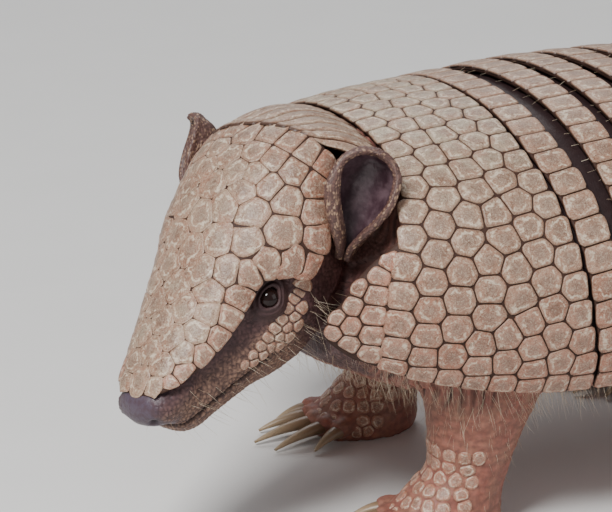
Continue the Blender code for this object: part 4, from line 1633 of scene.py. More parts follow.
@dataclass
class Coat:
    """Sparse bristles: whiskers, throat, belly, legs, and between the bands."""

    skin: bpy.types.Object
    relief: "Relief"
    shell: Shell
    skull: Skull
    tufts: tuple[Pair, ...] = (
        (45.5, .12), (45.0, .16), (46.5, .20), (47.5, .24),
        (49.0, .29), (50.5, .33), (55.0, .40), (62.0, .42),
    )                                 # millimetres along the head, and shares of the way down the cheek
    fringe: int = 44                  # hairs in a gap between bands
    fringe_end: float = 1.95          # radians from the crest to the last of them

    def __post_init__(self) -> None:
        """Reads where the skin lies and how much of it belongs to each point."""
        mesh = self.skin.data
        self.points = gathered(mesh.vertices, "co", 3)
        self.out = gathered(mesh.vertex_normals, "vector", 3)
        corners = gathered(mesh.loops, "vertex_index", 1, np.int32)
        area, sides = gathered(mesh.polygons, "area"), gathered(mesh.polygons, "loop_total", 1, np.int32)
        self.area = np.bincount(corners, np.repeat(area / sides, sides), len(self.points))

    def _zone(self, share: Array, growth: Growth, seed: int) -> Shape:
        """Hairs over a zone of the skin, thickest where its share is highest."""
        weight = share * self.area
        odds = weight / weight.sum()
        chosen = np.random.default_rng(seed).choice(len(weight), growth.count, replace=False, p=odds)
        return growth.grow(self.points[chosen], self.out[chosen], seed + 1)

    def head(self) -> Shape:
        """Whiskers along jaw and chin, tufts behind the cheeks, and long hairs on the throat."""
        local = self.skull.local(self.points)
        face = self.relief.face(local)
        throat = self.relief.throat(self.points, face)
        jaw = face * ramp(self.relief.lip_gap(local), .016, .004) * ramp(local[:, 0], .028, .045)
        jaw *= ramp(local[:, 0], .112, .104) * ramp(np.abs(local[:, 1]), .002, .006)
        throat *= ramp(self.points[:, 2], .140, .105)
        shapes = [
            self._zone(jaw, Growth(230, (4 * MM, 9 * MM), .075 * MM, (.75, 0, -.45), .55), 200),
            self._zone(throat, Growth(210, (5 * MM, 11 * MM), .080 * MM, (.45, 0, -.85), .55), 210),
        ]
        for side in (1, -1):
            cheek = Cheek(self.skull, side)
            where = np.repeat(np.array(self.tufts) * (MM, 1), 2, axis=0)
            where += np.random.default_rng(220).normal(0, 1, where.shape) * (.9 * MM, .018)
            root, out = cheek.point(*where.T), cheek.normal(*where.T)
            tuft = Growth(len(root), (6 * MM, 15 * MM), .055 * MM, (.50, 0, -.80), .55, .9, .34)
            shapes.append(tuft.grow(root, out, 225))
        return Shape.joined(shapes)

    def body(self) -> Shape:
        """Short hair on legs, longer hair on belly and flanks, and a fringe between the bands."""
        points, out = self.points, self.out
        angle = np.abs(self.shell.angle_of(points))
        along = points[:, 0] - self.shell.datum
        trunk = (along > -.095) & (along < .19) & (points[:, 2] > .035)
        local = self.skull.local(points)
        away = 1 - self.relief.face(local)
        hem = trunk * ramp(angle, 2.00, 2.06) * ramp(angle, 2.34, 2.16) * away
        belly = trunk * ramp(out[:, 2], -.35, -.75) * ramp(points[:, 2], .075, .055) * away
        legs = ramp(points[:, 2], .004, .012) * ramp(points[:, 2], .088, .074) * (np.abs(points[:, 1]) > .020)
        legs *= (np.abs(out[:, 2]) < .75) * away * (along < .17)
        feet = legs * ramp(points[:, 2], .036, .030)
        down = Growth(1900, (2.4 * MM, 5 * MM), .055 * MM, (.1, 0, -.95), .72)
        shapes = [
            self._zone(hem, Growth(620, (5 * MM, 10 * MM), .075 * MM, (.15, 0, -.95), .60), 230),
            self._zone(belly, Growth(1000, (6 * MM, 12 * MM), .075 * MM, (.45, 0, -.60), .50), 240),
            self._zone(legs * (1 - .8 * feet), down, 250),
        ]
        count, even = self.fringe, np.linspace(-self.fringe_end, self.fringe_end, self.fringe)
        rows = [self.shell.band_start(k, even) for k in range(1, self.shell.band_count)]
        for k, row in enumerate([*rows, self.shell.pelvic_start]):
            random = np.random.default_rng(260 + k)
            v = even + random.normal(0, .02, count)
            u = row - random.uniform(.6, 3.2, count) * MM
            root = self.shell.raised(u, v, -1.8 * MM)
            way, _ = self.shell.tangents(u, v)
            out_there = unit(unit(way) * .85 + self.shell.normal(u, v) * .28)
            growth = Growth(count, (6 * MM, 11 * MM), .065 * MM, (.9, 0, -.2), .30, .25)
            shapes.append(growth.grow(root, out_there, 270 + k))
        return Shape.joined(shapes)


@dataclass
class Skin:
    """The one skin over head, neck, trunk, legs, feet and tail."""

    shell: Shell
    skull: Skull
    limbs: dict[str, Limb]
    claws: dict[str, tuple[float, ...]]
    tail: Tail
    depth: float = .3 * MM
    voxel: float = 1.2 * MM
    sink: float = 1.6 * MM               # how far the covered skin is drawn in
    claw_root: float = .0030
    toe_shape: tuple[float, ...] = (1.1, 1.2, 1.2, 1.2, 1.25, 1.25, 1.15, .8)    # in roots of its claw
    toe_arch: float = .0008
    belly: float = .0450
    trunk_front: float = -.050
    trunk_rear: float = .199
    bridge: Triple = (.0975, 0, -.0165)
    bridge_radii: Triple = (.0140, .0148, .0088)
    collar: float = .036                 # how far forward of the trunk it reaches under the shield
    muzzle: float = .0920                # how far along the head it is evened out again
    muzzle_rounds: int = 14
    margins: Pair = (.007, .003)         # how far within a shield's free and inner edges skin is hidden
    thinning: float = .85                # share of the hidden points that is taken out
    neck_tip: Triple = (-.2020, -.0140, .1145)
    neck_tip_half: float = .0225

    def _trunk_ring(self, along: float, columns: int = 64) -> Array:
        """One section of the trunk: under the shell above, the belly below."""
        inset = FLESH_TUCK * (1 + 1.1 * max(0.0, (along - .12) / .08) ** 1.2) + self.depth
        v = np.linspace(-self.shell.edge, self.shell.edge, columns)
        upper = self.shell.ring(along, v, -inset)
        edge = upper[-1]
        belly = self.belly + .012 * max(0.0, (along - .15) / .05) ** 2 + .006 * max(0.0, -along / .05) ** 2
        turn = np.linspace(0, math.pi, columns // 2 + 1)[1:-1]
        lower = np.stack([
            np.full_like(turn, edge[0]),
            (edge[1] + .004) * power(np.cos(turn), 1.25),
            edge[2] - (edge[2] - belly) * power(np.sin(turn)),
        ], axis=-1)
        return np.concatenate([upper, lower])

    def _neck(self) -> Array:
        """Rings of the neck from the trunk to inside the head."""
        root = self._trunk_ring(self.trunk_front)
        hub = root.mean(axis=0)
        left = self.skull.axes()[1]
        angle = np.arctan2(hub[1] - root[:, 1], root[:, 2] - hub[2])[:, None]
        round_tip = left * np.sin(angle) + np.array([0, 0, 1]) * np.cos(angle)
        tip = np.array(self.neck_tip) + round_tip * self.neck_tip_half
        rings = [root + (.004, 0, 0)]
        for t in np.linspace(0, 1, 24):
            narrow = 1 - (1 - max(0.0, t - .09) / .91) ** 2
            rings.append(root + (tip - root) * np.array([t, narrow, narrow]))
        return np.array(rings)

    def _collar(self) -> Array:
        """Rings of the shoulders' flesh that fills the front of the scapular shield."""
        rings = []
        for t in np.linspace(0, 1, 14):
            ring = self._trunk_ring(self.trunk_front + .006 - t * self.collar)
            middle = ring.mean(axis=0) * (1, 0, 1)
            ring = middle + (ring - middle) * (1 - .08 * t ** 3)
            high = t ** 2 * ramp(ring[:, 2], .088, .118)
            rings.append(ring * np.stack([1 + 0 * high, 1 - .30 * high, 1 - .28 * high], axis=1))
        return np.array(rings)

    def _head(self) -> Array:
        """Rings of the head's flesh."""
        crown = Crown(self.skull)
        cheeks = Cheek(self.skull, 1), Cheek(self.skull, -1)
        v, turn = np.linspace(-1, 1, 41), np.linspace(0, 1, 26)[1:]
        front = self.skull.front_edge
        rings = []
        for along in np.linspace(-.001, front, 70):
            tuck = self.skull.tuck * (1 - .62 * ramp(along, .096, front))
            upper = crown.ring(along, v, -tuck - self.depth)
            left, right = (cheek.ring(along, turn, -self.depth) for cheek in cheeks)
            rings.append(np.concatenate([upper, left, right[-2::-1]]))
        return np.array(rings)

    def _leg(self, limb: Limb) -> Array:
        """Rings of a leg from inside the trunk to its sole."""
        v = circle(40)
        return np.array([
            limb.ring(u, v, -self.depth) * (1, 1, 0) + np.array([0, 0, u])
            for u in np.linspace(limb.stations[0][0], 0, 44)
        ])

    def toe(self, limb: Limb, claws: tuple[float, ...], number: int) -> tuple[Array, Array, float]:
        """Where a toe starts and ends, and the level direction that its claw points in.

        Args:
            limb: Its leg.
            claws: The lengths of the foot's claws.
            number: Which toe.

        Returns:
            The toe's root, its heading, and its length.
        """
        _, dx, y, length, width = limb.stations[-2]
        middle = (len(claws) - 1) / 2
        spread = (number - middle) / middle
        heading = np.array([-math.cos(.35 * spread), limb.side * math.sin(.35 * spread), 0])
        root = np.array([
            limb.x + dx - length * (.80 - .22 * spread ** 2),
            limb.side * (y + width * .72 * spread),
            self.claw_root * 2,
        ])
        return root, heading, length * .26

    def _solids(self) -> Iterable[Shape]:
        """Every closed piece of flesh, overlapping its neighbours."""
        stations = np.linspace(self.trunk_front, self.trunk_rear, 60)
        yield loft(np.array([self._trunk_ring(a) for a in stations]))
        yield loft(self._neck())
        yield loft(self._collar())
        yield loft(self._head())
        skull, globe = self.skull, ball(24, 32)
        yield loft(skull.place(np.array(skull.nose) + globe * (np.array(skull.nose_radii) - self.depth)))
        yield loft(skull.place(np.array(self.bridge) + globe * np.array(self.bridge_radii)))
        for name, limb in self.limbs.items():
            yield loft(self._leg(limb))
            for k in range(len(self.claws[name])):
                root, heading, length = self.toe(limb, self.claws[name], k)
                count = len(self.toe_shape)
                path = root + heading * length * np.linspace(-.6, 1.05, count)[:, None]
                path[:, 2] += self.toe_arch * np.sin(np.linspace(0, math.pi, count))
                yield tube(path, self.claw_root * np.array(self.toe_shape), 16)
        u, v = np.meshgrid(np.linspace(0, len(self.tail.x) - 1, 80), circle(32), indexing="ij")
        yield loft(self.tail.raised(u, v, -self.depth))

    def build(self) -> bpy.types.Object:
        """Merges the flesh, then works its folds, lids and grain into it.

        Returns:
            The skin.
        """
        raw = Shape.joined(list(self._solids())).mesh("skin")
        remesh = raw.modifiers.new("one skin", "REMESH")
        remesh.mode = "VOXEL"
        remesh.voxel_size = self.voxel
        smooth = raw.modifiers.new("soft", "SMOOTH")
        smooth.factor, smooth.iterations = .5, 3
        self._settle(raw)
        self._thin_out(raw)
        self._soften(raw, self.skull.local(self.points(raw))[:, 0] > self.muzzle, self.muzzle_rounds)
        relief = Relief(self.shell, self.skull)
        for wanted in (relief.worked, relief.fine):
            self._soften(raw, wanted(self.points(raw)), 2, True)
        self._work(raw, relief)
        return raw

    @staticmethod
    def _soften(obj: bpy.types.Object, wanted: Array, times: int, halve: bool = False) -> None:
        """Evens out points of the skin.

        Args:
            obj: The skin.
            wanted: True at each wanted point.
            times: How often.
            halve: Whether to halve the edges between the wanted points first, and even out what that touches.
        """
        mesh = bmesh.new()
        mesh.from_mesh(obj.data)
        mesh.verts.ensure_lookup_table()
        chosen = [v for v in mesh.verts if wanted[v.index]]
        if halve:
            edges = [e for e in mesh.edges if all(wanted[v.index] for v in e.verts)]
            made = bmesh.ops.subdivide_edges(mesh, edges=edges, cuts=1, use_grid_fill=True)
            chosen = [e for e in made["geom"] if isinstance(e, bmesh.types.BMVert)]
        ways = {f"use_axis_{axis}": True for axis in "xyz"}
        for _ in range(times):
            bmesh.ops.smooth_vert(mesh, verts=chosen, factor=.5, **ways)
        mesh.to_mesh(obj.data)
        mesh.free()

    def _work(self, obj: bpy.types.Object, relief: "Relief") -> None:
        """Moves the points by the relief, sinks what is covered, and marks each point for the finish.

        Args:
            obj: The skin.
            relief: Its folds and grain.
        """
        points, normals = self.points(obj), gathered(obj.data.vertex_normals, "vector", 3)
        marks, height = relief.read(points)
        covered = self._hidden(points)
        moved = points + normals * (height * (1 - covered) - covered * self.sink)[:, None]
        moved = relief.lidded(moved)
        obj.data.vertices.foreach_set("co", moved.ravel())
        obj.data.update()
        write_marks(obj.data, marks)
        obj.data.shade_smooth()

    @staticmethod
    def _settle(obj: bpy.types.Object) -> None:
        """Applies the object's modifiers."""
        graph = bpy.context.evaluated_depsgraph_get()
        settled = bpy.data.meshes.new_from_object(obj.evaluated_get(graph), depsgraph=graph)
        obj.modifiers.clear()
        old, obj.data = obj.data, settled
        bpy.data.meshes.remove(old)

    @staticmethod
    def points(obj: bpy.types.Object) -> Array:
        """The places of the object's points."""
        return gathered(obj.data.vertices, "co", 3)

    def _hidden(self, points: Array) -> Array:
        """1 where a shield covers the skin, 0 where it shows."""
        shell = self.shell
        along = points[:, 0] - shell.datum
        angle = shell.angle_of(points)
        open_edge, closed_edge = self.margins
        under = (along > shell.front(angle) + open_edge) & (along < shell.rear(angle) - closed_edge)
        under |= (along > shell.pelvic_start + closed_edge) & (along < shell.pelvic_rear(angle) - open_edge)
        under &= np.abs(angle) < shell.edge - .16
        head = self.skull.local(points)
        crown = head[:, 2] > self.skull.edge(head[:, 0]) + closed_edge
        crown &= (head[:, 0] > .004) & (head[:, 0] < .100)
        return (under | crown).astype(float)

    def _thin_out(self, obj: bpy.types.Object) -> None:
        """Takes points out where the skin is covered."""
        hidden = self._hidden(self.points(obj))
        group = obj.vertex_groups.new(name="covered")
        group.add(np.nonzero(hidden)[0].tolist(), 1.0, "REPLACE")
        thin = obj.modifiers.new("thin", "DECIMATE")
        thin.ratio = 1 - self.thinning * float(hidden.mean())
        thin.vertex_group = group.name
        thin.vertex_group_factor = 8
        self._settle(obj)
        obj.vertex_groups.clear()


@dataclass
class Relief:
    """The skin's folds, grain, lids, nostrils and lips, and the marks that its finish reads."""

    shell: Shell
    skull: Skull
    seed: int = 90
    fold: float = 5.2 * MM
    fold_depth: float = 1.2 * MM
    grain: float = 1.7 * MM
    eye_axis: Triple = (.20, .80, .55)
    opening: Pair = (.0036, .0031)   # half the width and height between the lids
    lid_reach: float = 2.7                          # how far the lids reach, in openings
    # Folds of the lids: height, how much it varies, crest and width, dent and width, and depth of the dent.
    lid_folds: tuple = ((.30, .2, (1.74, .16), (1.46, .10), 1.3), (.10, .3, (2.22, .18), (1.98, .10), 1.0))
    lip: Triple = (.108, -.0250, .33)               # a place on the line of the mouth, and its slope
    nostril: Triple = (.1118, .0062, -.0150)
    nostril_size: Triple = (.0030, .0017, .0013)
    nostril_depth: float = 2.6 * MM
    mouth_depth: float = 1.3 * MM
    mouth_width: float = .60e-3
    lip_ridge: Triple = (.0016, .9e-3, .5 * MM)     # how far under the mouth, how wide and how high
    # Where a zone starts to fade in and where it is whole, in the head's frame or the world's.
    face_along: Pair = (.006, .026)
    face_aside: Pair = (.050, .043)
    face_low: Pair = (-.080, -.072)
    face_high: Pair = (.016, .010)
    neck_front: Pair = (-.240, -.215)
    neck_rear: Pair = (-.134, -.146)
    neck_low: Pair = (.046, .058)
    leg_top: Pair = (.085, .070)
    flush_low: Pair = (.078, .060)
    mouth_along: Pair = (.064, .076)
    nose_edge: Pair = (1.26, 1.02)                  # in radii of the nose
    eye_dark: Pair = (3.4, 1.9)                     # in openings of the lids
    # where the painted shade on the skin between the bands fades in and is whole
    band_gap_shade: Pair = (2.02, 1.94)                   # radians from the crest

    def lip_gap(self, head: Array) -> Array:
        """How far above the line of the mouth each place of the head lies."""
        along, start, slope = self.lip
        return head[:, 2] - start + (along - head[:, 0]) * slope

    def face(self, head: Array) -> Array:
        """1 on cheeks, chin and muzzle."""
        aside = np.abs(head[:, 1]) + .30 * np.maximum(0, head[:, 0] - .020)
        near = ramp(head[:, 0], *self.face_along) * ramp(aside, *self.face_aside)
        return near * ramp(head[:, 2], *self.face_low) * ramp(head[:, 2], *self.face_high)

    def throat(self, points: Array, face: Array) -> Array:
        """1 on the neck between head and shoulders."""
        near = ramp(points[:, 0], *self.neck_front) * ramp(points[:, 0], *self.neck_rear)
        return near * ramp(points[:, 2], *self.neck_low) * (1 - face)

    def worked(self, points: Array) -> Array:
        """Whether a point belongs to head or neck, and shows."""
        head = self.skull.local(points)
        face = self.face(head)
        shown = head[:, 2] < self.skull.edge(head[:, 0]) + .006
        covered = (points[:, 0] - self.shell.datum > self.shell.front(self.shell.angle_of(points)) + .010)
        covered &= points[:, 2] > .070
        return ((face > .1) & shown) | ((self.throat(points, face) > .1) & ~covered)

    def fine(self, points: Array) -> Array:
        """Whether a point lies at an eye, the mouth or the nose."""
        head = self.skull.local(points)
        found = (np.abs(self.lip_gap(head)) < .003) & (head[:, 0] > .062) & (self.face(head) > .5)
        found |= (head[:, 0] > .1080) & (head[:, 2] > -.030) & (head[:, 2] < -.002)
        for side in (1, -1):
            found |= norm(head - np.array(self.skull.eye) * (1, side, 1)) < .0125
        return found

    def read(self, points: Array) -> tuple[dict[str, Array], Array]:
        """Works out the relief.

        Args:
            points: Places on the smooth skin.

        Returns:
            The marks for flush, for the nose pad's gloss and painted sheen, for painted shade in creases and
            for lip, and how far each point moves outwards.
        """
        head = self.skull.local(points)
        face = self.face(head)
        throat = self.throat(points, face)
        nose = norm((head - np.array(self.skull.nose)) / np.array(self.skull.nose_radii))
        # The nose pad: glossier, with a painted lilac sheen on its middle that fades towards its sides.
        gloss_and_sheen = ramp(nose, *self.nose_edge) * (1 - .85 * ramp(np.abs(head[:, 1]), .0060, .0118))
        folds, close = self._folds(points)
        dome, _ = Grain(self.seed + 1).cells(points, self.grain)
        large, _ = Grain(self.seed + 2).cells(points, 3.6 * MM)
        sway = Grain(self.seed + 3).rough(points, 9 * MM)
        level = ridges(points[:, 2] / (4.6 * MM) + 1.2 * sway, .6)
        skinny = face * (1 - gloss_and_sheen)
        rest = (1 - face) * (1 - throat)
        legs = rest * ramp(points[:, 2], *self.leg_top)
        height = throat * (self.fold_depth * (folds - .6) + .38 * MM * (close - .6) + .14 * MM * (dome - .6))
        height += skinny * .42 * MM * (dome - .6) + gloss_and_sheen * .06 * MM * (dome - .6)
        on_legs = legs * (.30 * MM * (level - .6) + .22 * MM * (large - .6))
        height += on_legs + (rest - legs) * .25 * MM * (large - .6)
        height += Grain(self.seed + 4).rough(points, 8 * MM) * .35 * MM * (1 - gloss_and_sheen)
        gap = self.lip_gap(head)
        mouth = ramp(head[:, 0], *self.mouth_along) * ramp(face, .4, .8)
        groove = bell(gap, self.mouth_width) * mouth
        height -= groove * self.mouth_depth
        under, width, ridge = self.lip_ridge
        height += bell(gap + under, width) * mouth * ridge
        hole = self._nostrils(head)
        height -= hole * self.nostril_depth
        # Painted shade in the neck's folds, between the face's grains, in the legs' creases, the mouth's
        # groove and the nostrils.
        crease_shade = throat * (.75 * (1 - folds) + .45 * (1 - close)) + skinny * (1 - dome) * .80
        crease_shade = np.clip(crease_shade + legs * (1 - level * large) * .5 + groove + 1.2 * hole, 0, 1)
        lip = .42 * mouth * ramp(gap, .0008, -.0010) * ramp(gap, -.0130, -.0070) * (1 - gloss_and_sheen) * (.3 + dome)
        crust = skinny * ramp(gap, .0150, .0070) * ramp(head[:, 0], .052, .066) * (.15 + dome)
        flush = ramp(points[:, 2], *self.flush_low) * (1 - face) * (1 - .8 * throat) + .62 * throat
        flush = flush + .32 * face * ramp(head[:, 0], .056, .026)
        # Adds darker skin round the eyes and painted shade between the bands.
        crease_shade = np.maximum(crease_shade, self._shade(points, head))
        return {"flush": flush, "gloss_and_sheen": gloss_and_sheen, "crease_shade": crease_shade, "lip": np.maximum(lip, crust)}, height

    def _folds(self, points: Array) -> tuple[Array, Array]:
        """The neck's upright folds and the finer ones between them, from 0 in a trough to 1 on a crest."""
        slow = Grain(self.seed).rough(points * (1, 1, .45), 11 * MM)
        sideways = points @ (.85, 0, -.22) + .75 * np.abs(points[:, 1])
        close = ridges(sideways / (.42 * self.fold) + 2.4 * slow, .8)
        return ridges(sideways / self.fold + 1.3 * slow, .7), close

    def _nostrils(self, head: Array) -> Array:
        """1 in the middle of a nostril, fading to 0 outside it."""
        hole = np.zeros(len(head))
        for side in (1, -1):
            away = (head - np.array(self.nostril) * (1, side, 1)) / self.nostril_size
            hole = np.maximum(hole, np.exp(-dot(away, away)))
        return hole

    def _shade(self, points: Array, head: Array) -> Array:
        """How dark the skin is round the eyes, and the painted shade on the skin in the gaps between the
        bands.
        """
        dark = np.zeros(len(points))
        for side in (1, -1):
            r, out, _ = self._round_eye(head, side)
            dark = np.maximum(dark, .62 * ramp(r, *self.eye_dark) * (out > -.008))
        body = points[:, 0] - self.shell.datum
        banded = (body > -.010) & (body < self.shell.pelvic_start + .003)
        # Painted shade: the skin between the bands is made near black, as in a shadowed recess.
        return np.maximum(dark, .96 * ramp(np.abs(self.shell.angle_of(points)), *self.band_gap_shade) * banded)

    def _round_eye(self, head: Array, side: int) -> tuple[Array, Array, Array]:
        """How places lie round an eye.

        Args:
            head: The places, in the head's frame.
            side: 1 for the left eye and -1 for the right.

        Returns:
            How far from its middle in openings, how far out along its axis, and the axis.
        """
        away = head - np.array(self.skull.eye) * (1, side, 1)
        axis = unit(np.array(self.eye_axis) * (1, side, 1))
        first = unit(np.array([1.0, 0, 0]) - axis * axis[0])
        second = np.cross(axis, first)
        right, rise = away @ first, away @ second
        turn = np.arctan2(rise, right)
        almond = 1 - .13 * np.abs(np.cos(turn)) ** 6
        wander = 1 + .05 * np.sin(3 * turn + .7)
        r = np.hypot(right / self.opening[0], rise / self.opening[1]) * almond * wander
        return r, away @ axis, axis

    def lidded(self, points: Array) -> Array:
        """The points with those round each eye formed into its lids.

        Args:
            points: Places on the skin.

        Returns:
            The places to use.
        """
        head = self.skull.local(points)
        for side in (1, -1):
            r, out, axis = self._round_eye(head, side)
            near = (out > -.006) & (r < self.lid_reach)
            lid = 3.35 - 1.25 * ramp(r, 1.15, self.lid_reach) + .45 * bell(r - 1.18, .15)
            wave = Grain(self.seed + 6).smooth(head, 2.6 * MM)
            for base, sway, (crest, wide), (dent, narrow), deep in self.lid_folds:
                lid += (base + sway * wave) * (bell(r - crest, wide) - deep * bell(r - dent, narrow))
            lid = np.where(r < .93, -1.0, lid) * MM
            own = ramp(r, 1.35, self.lid_reach)
            goal = out * own + lid * (1 - own)
            head = head + axis * (np.where(near, goal - out, 0))[:, None]
        return self.skull.place(head)


@dataclass
class Ear(Surface):
    """An ear's funnel: u runs from its root to its tip, v wraps from one edge to the other."""

    skull: Skull
    side: int
    tip: Triple
    root: Triple = (.0280, .0317, -.0371)
    opens: Triple = (.70, .52, .48)
    radius: Profile = Profile(
        (0, .10, .25, .45, .65, .82, .94, 1), (.0020, .0034, .0058, .0092, .0113, .0107, .0074, .0030),
    )
    wrap: Profile = Profile((0, .10, .25, .45, .65, .82, .94, 1), (179, 177, 158, 134, 114, 90, 64, 40))
    wall: float = .0006                # half the leather's thickness
    rim: float = .0009                 # how much thicker it is at the rim, to each side
    lobe: float = .0026                # how much thicker its front edge is low down
    grain: float = 1.25 * MM
    grain_height: float = .38 * MM
    middle: Pair = (.5, 0)

    @property
    def inside(self) -> Array:
        """A place in the funnel."""
        mirror = np.array([1, self.side, 1])
        return self.skull.place((np.array(self.root) + np.array(self.tip)) / 2 * mirror)

    def point(self, u: Array, v: Array) -> Array:
        """The place u of the way to the tip and v of the way round."""
        mirror = np.array([1, self.side, 1])
        root, tip, opens = (np.array(c) * mirror for c in (self.root, self.tip, self.opens))
        axis = unit(tip - root)
        opens = unit(opens - axis * dot(opens, axis))
        across = np.cross(axis, opens)
        wrap = np.radians(self.wrap(u))
        turn = across * np.sin(wrap * v)[..., None] - opens * np.cos(wrap * v)[..., None]
        return self.skull.place(root + (tip - root) * u[..., None] + turn * self.radius(u)[..., None])

    def build(self) -> Shape:
        """The ear's leather, granular outside and on its rim, and swollen along its front edge.

        Returns:
            A closed shape marked with inner, grain and the painted shade between its grains.
        """
        span = np.sin(np.linspace(-math.pi / 2, math.pi / 2, 150))
        u, v = np.meshgrid(1 - (1 - np.linspace(0, 1, 110)) ** 1.3, span, indexing="ij")
        place = self.point(u, v)
        arc = self.radius(u) * np.radians(self.wrap(u))
        reach = float(norm(np.array(self.tip) - np.array(self.root)))
        edge = np.minimum((1 - np.abs(v)) * arc, (1 - u) * reach)
        front = (1 + v * self.side) * arc
        swell = self.lobe * bell(front, 3.2e-3) * ramp(u, -.15, .38) * ramp(u, .86, .58)
        half = self.wall + self.rim * bell(edge - 1.5e-3, 1.5e-3) + swell
        half *= np.sqrt(np.clip(1 - (1 - np.clip(edge / (half + .4e-3), 0, 1)) ** 2, 0, 1))
        near = np.maximum(ramp(edge, .0046, .0026), ramp(swell, .2e-3, 1e-3))
        fold = Grain(8).rough(place, 5 * MM) * .3 * MM
        heights, crease_shade, grain = [], [], []
        for way, rough in ((1, 1.0), (-1, near)):
            dome, chance = Grain(7).cells(self.raised(u, v, way * 1.3 * half), self.grain)
            bump = (dome - .5) * self.grain_height * rough * ramp(half, .2e-3, .6e-3)
            heights.append(way * (half + bump) + (0 if way > 0 else fold * (1 - near)) - .2e-3)
            # painted shade between the grains
            crease_shade.append(((1 - dome) * rough).ravel())
            grain.append((chance * dome * rough).ravel())
        shape = slab(self, u, v, *heights)
        shape.marks = {
            "inner": np.concatenate([0 * u.ravel(), (1 - near).ravel()]),
            "crease_shade": np.concatenate(crease_shade),
            "grain": np.concatenate(grain),
        }
        return shape


@dataclass
class Eyeball:
    """A smooth round eye."""

    skull: Skull
    side: int                         # 1 for the left eye and -1 for the right

    def build(self) -> Shape:
        """The eye."""
        centre = np.array(self.skull.eye) * (1, self.side, 1)
        return loft(self.skull.place(centre + ball(40, 56, .01)[..., [1, 0, 2]] * self.skull.eye_radius))


@dataclass
class Claws:
    """The claws of one foot, curved and flattened below."""

    skin: Skin
    limb: Limb
    lengths: tuple[float, ...]
    sunk: float = .6                  # how far along the toe a claw starts
    drop: float = 1.5                 # how far its tip falls, in roots
    flat: float = .85                 # its depth over its width
    rings: int = 14

    def build(self) -> Shape:
        """All five claws, marked with how far along each a point is."""
        shapes, size = [], self.skin.claw_root
        t = np.linspace(0, 1, self.rings)
        for k, reach in enumerate(self.lengths):
            root, heading, length = self.skin.toe(self.limb, self.lengths, k)
            path = root + heading * length * self.sunk + heading * ((reach + length * .4) * t)[:, None]
            path[:, 2] -= size * self.drop * t ** 2
            made = tube(path, size * (1.05 - .85 * t ** 1.3), self.rings, squash=self.flat)
            made.marks = {"reach": np.concatenate([np.repeat(t, self.rings), [0, 1]])}
            shapes.append(made)
        return Shape.joined(shapes)


# ---- the animal and its stage -------------------------------------------------------------
FORE_STATIONS = (
    (.078, .004, .046, .026, .019),
    (.062, .001, .0515, .0262, .0200),
    (.048, -.001, .0525, .0215, .0180),
    (.036, -.003, .0520, .0180, .0160),
    (.024, -.005, .0515, .0158, .0148),
    (.014, -.011, .0510, .0190, .0160),
    (.006, -.015, .0510, .0232, .0172),
    (.000, -.015, .0510, .0215, .0160),
)
HIND_STATIONS = (
    (.082, .000, .046, .036, .019),
    (.064, .000, .0485, .0330, .0190),
    (.050, .004, .0520, .0270, .0190),
    (.038, .010, .0530, .0205, .0170),
    (.027, .012, .0530, .0175, .0150),
    (.016, .005, .0530, .0265, .0158),
    (.007, -.004, .0530, .0370, .0172),
    (.000, -.005, .0530, .0350, .0158),
)
FORE_CLAWS = (.012, .021, .023, .018, .011)
HIND_CLAWS = (.010, .013, .014, .013, .010)


@dataclass
class Studio:
    """Floor, light and camera."""

    target: Triple = (-.202, -.040, .1098)
    azimuth: float = math.radians(-25.7)
    elevation: float = math.radians(18.8)
    distance: float = 1.1
    lens: float = 182.9
    sky: tuple[float, ...] = (.93, .95, 1, 1)
    sky_strength: float = .30
    lamps: tuple[tuple[str, Triple, float, float], ...] = (
        ("key", (-.95, -.55, 1.25), 30, .45),
        ("fill", (.9, -1.4, .8), 6, 1.2),
        ("back", (.3, 1.2, 1.2), 8, .9),
    )                                 # name, place, watts and width

    def build(self) -> None:
        """Lays the floor, hangs the lights and sets the camera."""
        self._floor()
        self._camera()
        for lamp in self.lamps:
            self._light(*lamp)
        world = bpy.data.worlds.new("soft light")
        world.use_nodes = True
        background = world.node_tree.nodes["Background"].inputs
        background["Color"].default_value = self.sky
        background["Strength"].default_value = self.sky_strength
        bpy.context.scene.world = world

    @staticmethod
    def _floor() -> None:
        """A wide pale floor."""
        bpy.ops.mesh.primitive_plane_add(size=12)
        floor = bpy.context.object
        floor.name = "floor"
        floor.data.materials.append(FloorFinish().make())

    def _light(self, name: str, place: Triple, strength: float, size: float) -> None:
        """A soft square light aimed at the animal."""
        data = bpy.data.lights.new(name, "AREA")
        data.energy, data.size = strength, size
        lamp = bpy.data.objects.new(name, data)
        lamp.location = place
        aim = Vector(self.target) - Vector(place)
        lamp.rotation_mode = "QUATERNION"
        lamp.rotation_quaternion = aim.to_track_quat("-Z", "Y")
        bpy.context.scene.collection.objects.link(lamp)

    def _camera(self) -> None:
        """The camera, level with no roll."""
        back = Vector((
            math.sin(self.azimuth) * math.cos(self.elevation),
            -math.cos(self.azimuth) * math.cos(self.elevation),
            math.sin(self.elevation),
        ))
        data = bpy.data.cameras.new("camera")
        data.lens, data.sensor_width = self.lens, 36
        camera = bpy.data.objects.new("camera", data)
        camera.location = Vector(self.target) + back * self.distance
        camera.rotation_mode = "QUATERNION"
        camera.rotation_quaternion = (-back).to_track_quat("-Z", "Y")
        bpy.context.scene.collection.objects.link(camera)
        bpy.context.scene.camera = camera


def put(piece: bpy.types.Object, material: bpy.types.Material, nodes: Sequence[str]) -> None:
    """Dresses a piece and sets it in the frame.

    Args:
        piece: The object.
        material: Its finish.
        nodes: The CAD nodes that it stands for.
    """
    piece.data.materials.clear()
    piece.data.materials.append(material)
    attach(piece, "root")
    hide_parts(*nodes)
    log.info("%s: %d faces", piece.name, len(piece.data.polygons))


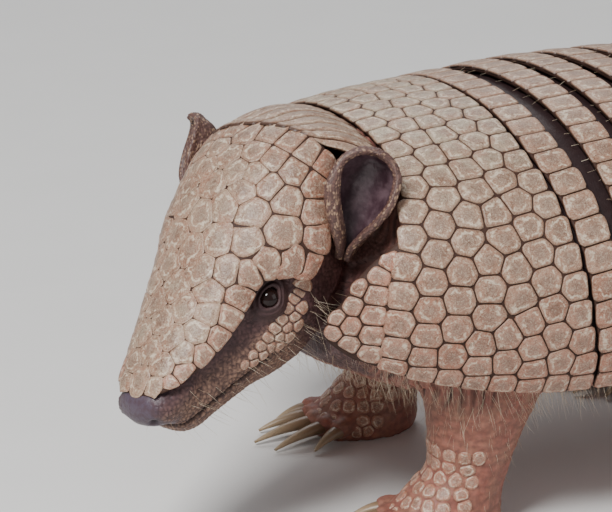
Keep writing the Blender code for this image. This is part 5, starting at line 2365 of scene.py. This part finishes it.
def main() -> None:
    """Builds and dresses the whole animal."""
    logging.basicConfig(level=logging.INFO, format="%(message)s")
    shell, skull, tail = Shell(), Skull(), Tail()
    scutes, seams = ScuteFinish().make(), SeamFinish().make()
    limbs = {
        "fore_left": Limb(FORE_STATIONS, -.1365, -1),
        "fore_right": Limb(FORE_STATIONS, -.1180, 1),
        "hind_left": Limb(HIND_STATIONS, .0310, -1),
        "hind_right": Limb(HIND_STATIONS, .0130, 1),
    }
    claws = {name: FORE_CLAWS if "fore" in name else HIND_CLAWS for name in limbs}
    armour, head = Armour(shell), HeadArmour(skull, shell)
    shields = {"scapular_shield": armour.scapular_shield(), "pelvic_shield": armour.pelvic_shield()}
    shields |= {f"band_{k + 1}": armour.band(k) for k in range(shell.band_count)}
    shields |= {"head_shield": head.shield(), "nape_band": head.nape()}
    for node, (plates, base) in shields.items():
        put(plates.mesh(f"{node}_plates"), scutes, [node])
        put(base.mesh(f"{node}_base"), seams, [node])
    skin = Skin(shell, skull, limbs, claws, tail)
    flesh = ["head", "neck", "trunk", "nose", "tail_1", "tail_2", "tail_3"]
    flesh += [f"{part}_{name}" for part in ("leg", "foot") for name in limbs]
    hide = skin.build()
    coat = Coat(hide, Relief(shell, skull), shell, skull)
    bristles = {"bristles_head": (coat.head(), ["head", "neck"]), "bristles_body": (coat.body(), ["trunk"])}
    put(hide, SkinFinish().make(), flesh)
    hair = BristleFinish().make()
    for name, (shape, nodes) in bristles.items():
        put(shape.mesh(name), hair, nodes)
    put(Platelets(skull).build().mesh("cheek_platelets"), scutes, ["head"])
    put(TailScutes(tail).build().mesh("tail_scutes"), scutes, ["tail_1", "tail_2", "tail_3"])
    for k, (name, limb) in enumerate(limbs.items()):
        scales = FootScales(limb, 150 + k).build().mesh(f"scales_{name}")
        put(scales, scutes, [f"foot_{name}", f"leg_{name}"])
    ear_tips = {1: (.0018, .0510, -.0092), -1: (-.0070, .0500, -.0100)}
    leather, wet, horn = EarFinish().make(), EyeFinish().make(), ClawFinish().make()
    for side, name in ((1, "left"), (-1, "right")):
        ear = Ear(skull, side, ear_tips[side]).build().mesh(f"ear_{name}_leather")
        put(ear, leather, [f"ear_{name}"])
        put(Eyeball(skull, side).build().mesh(f"eye_{name}_ball"), wet, [f"eye_{name}"])
    for name, limb in limbs.items():
        put(Claws(skin, limb, claws[name]).build().mesh(f"claws_{name}"), horn, [f"foot_{name}"])
    Studio().build()


if __name__ == "__main__":
    main()
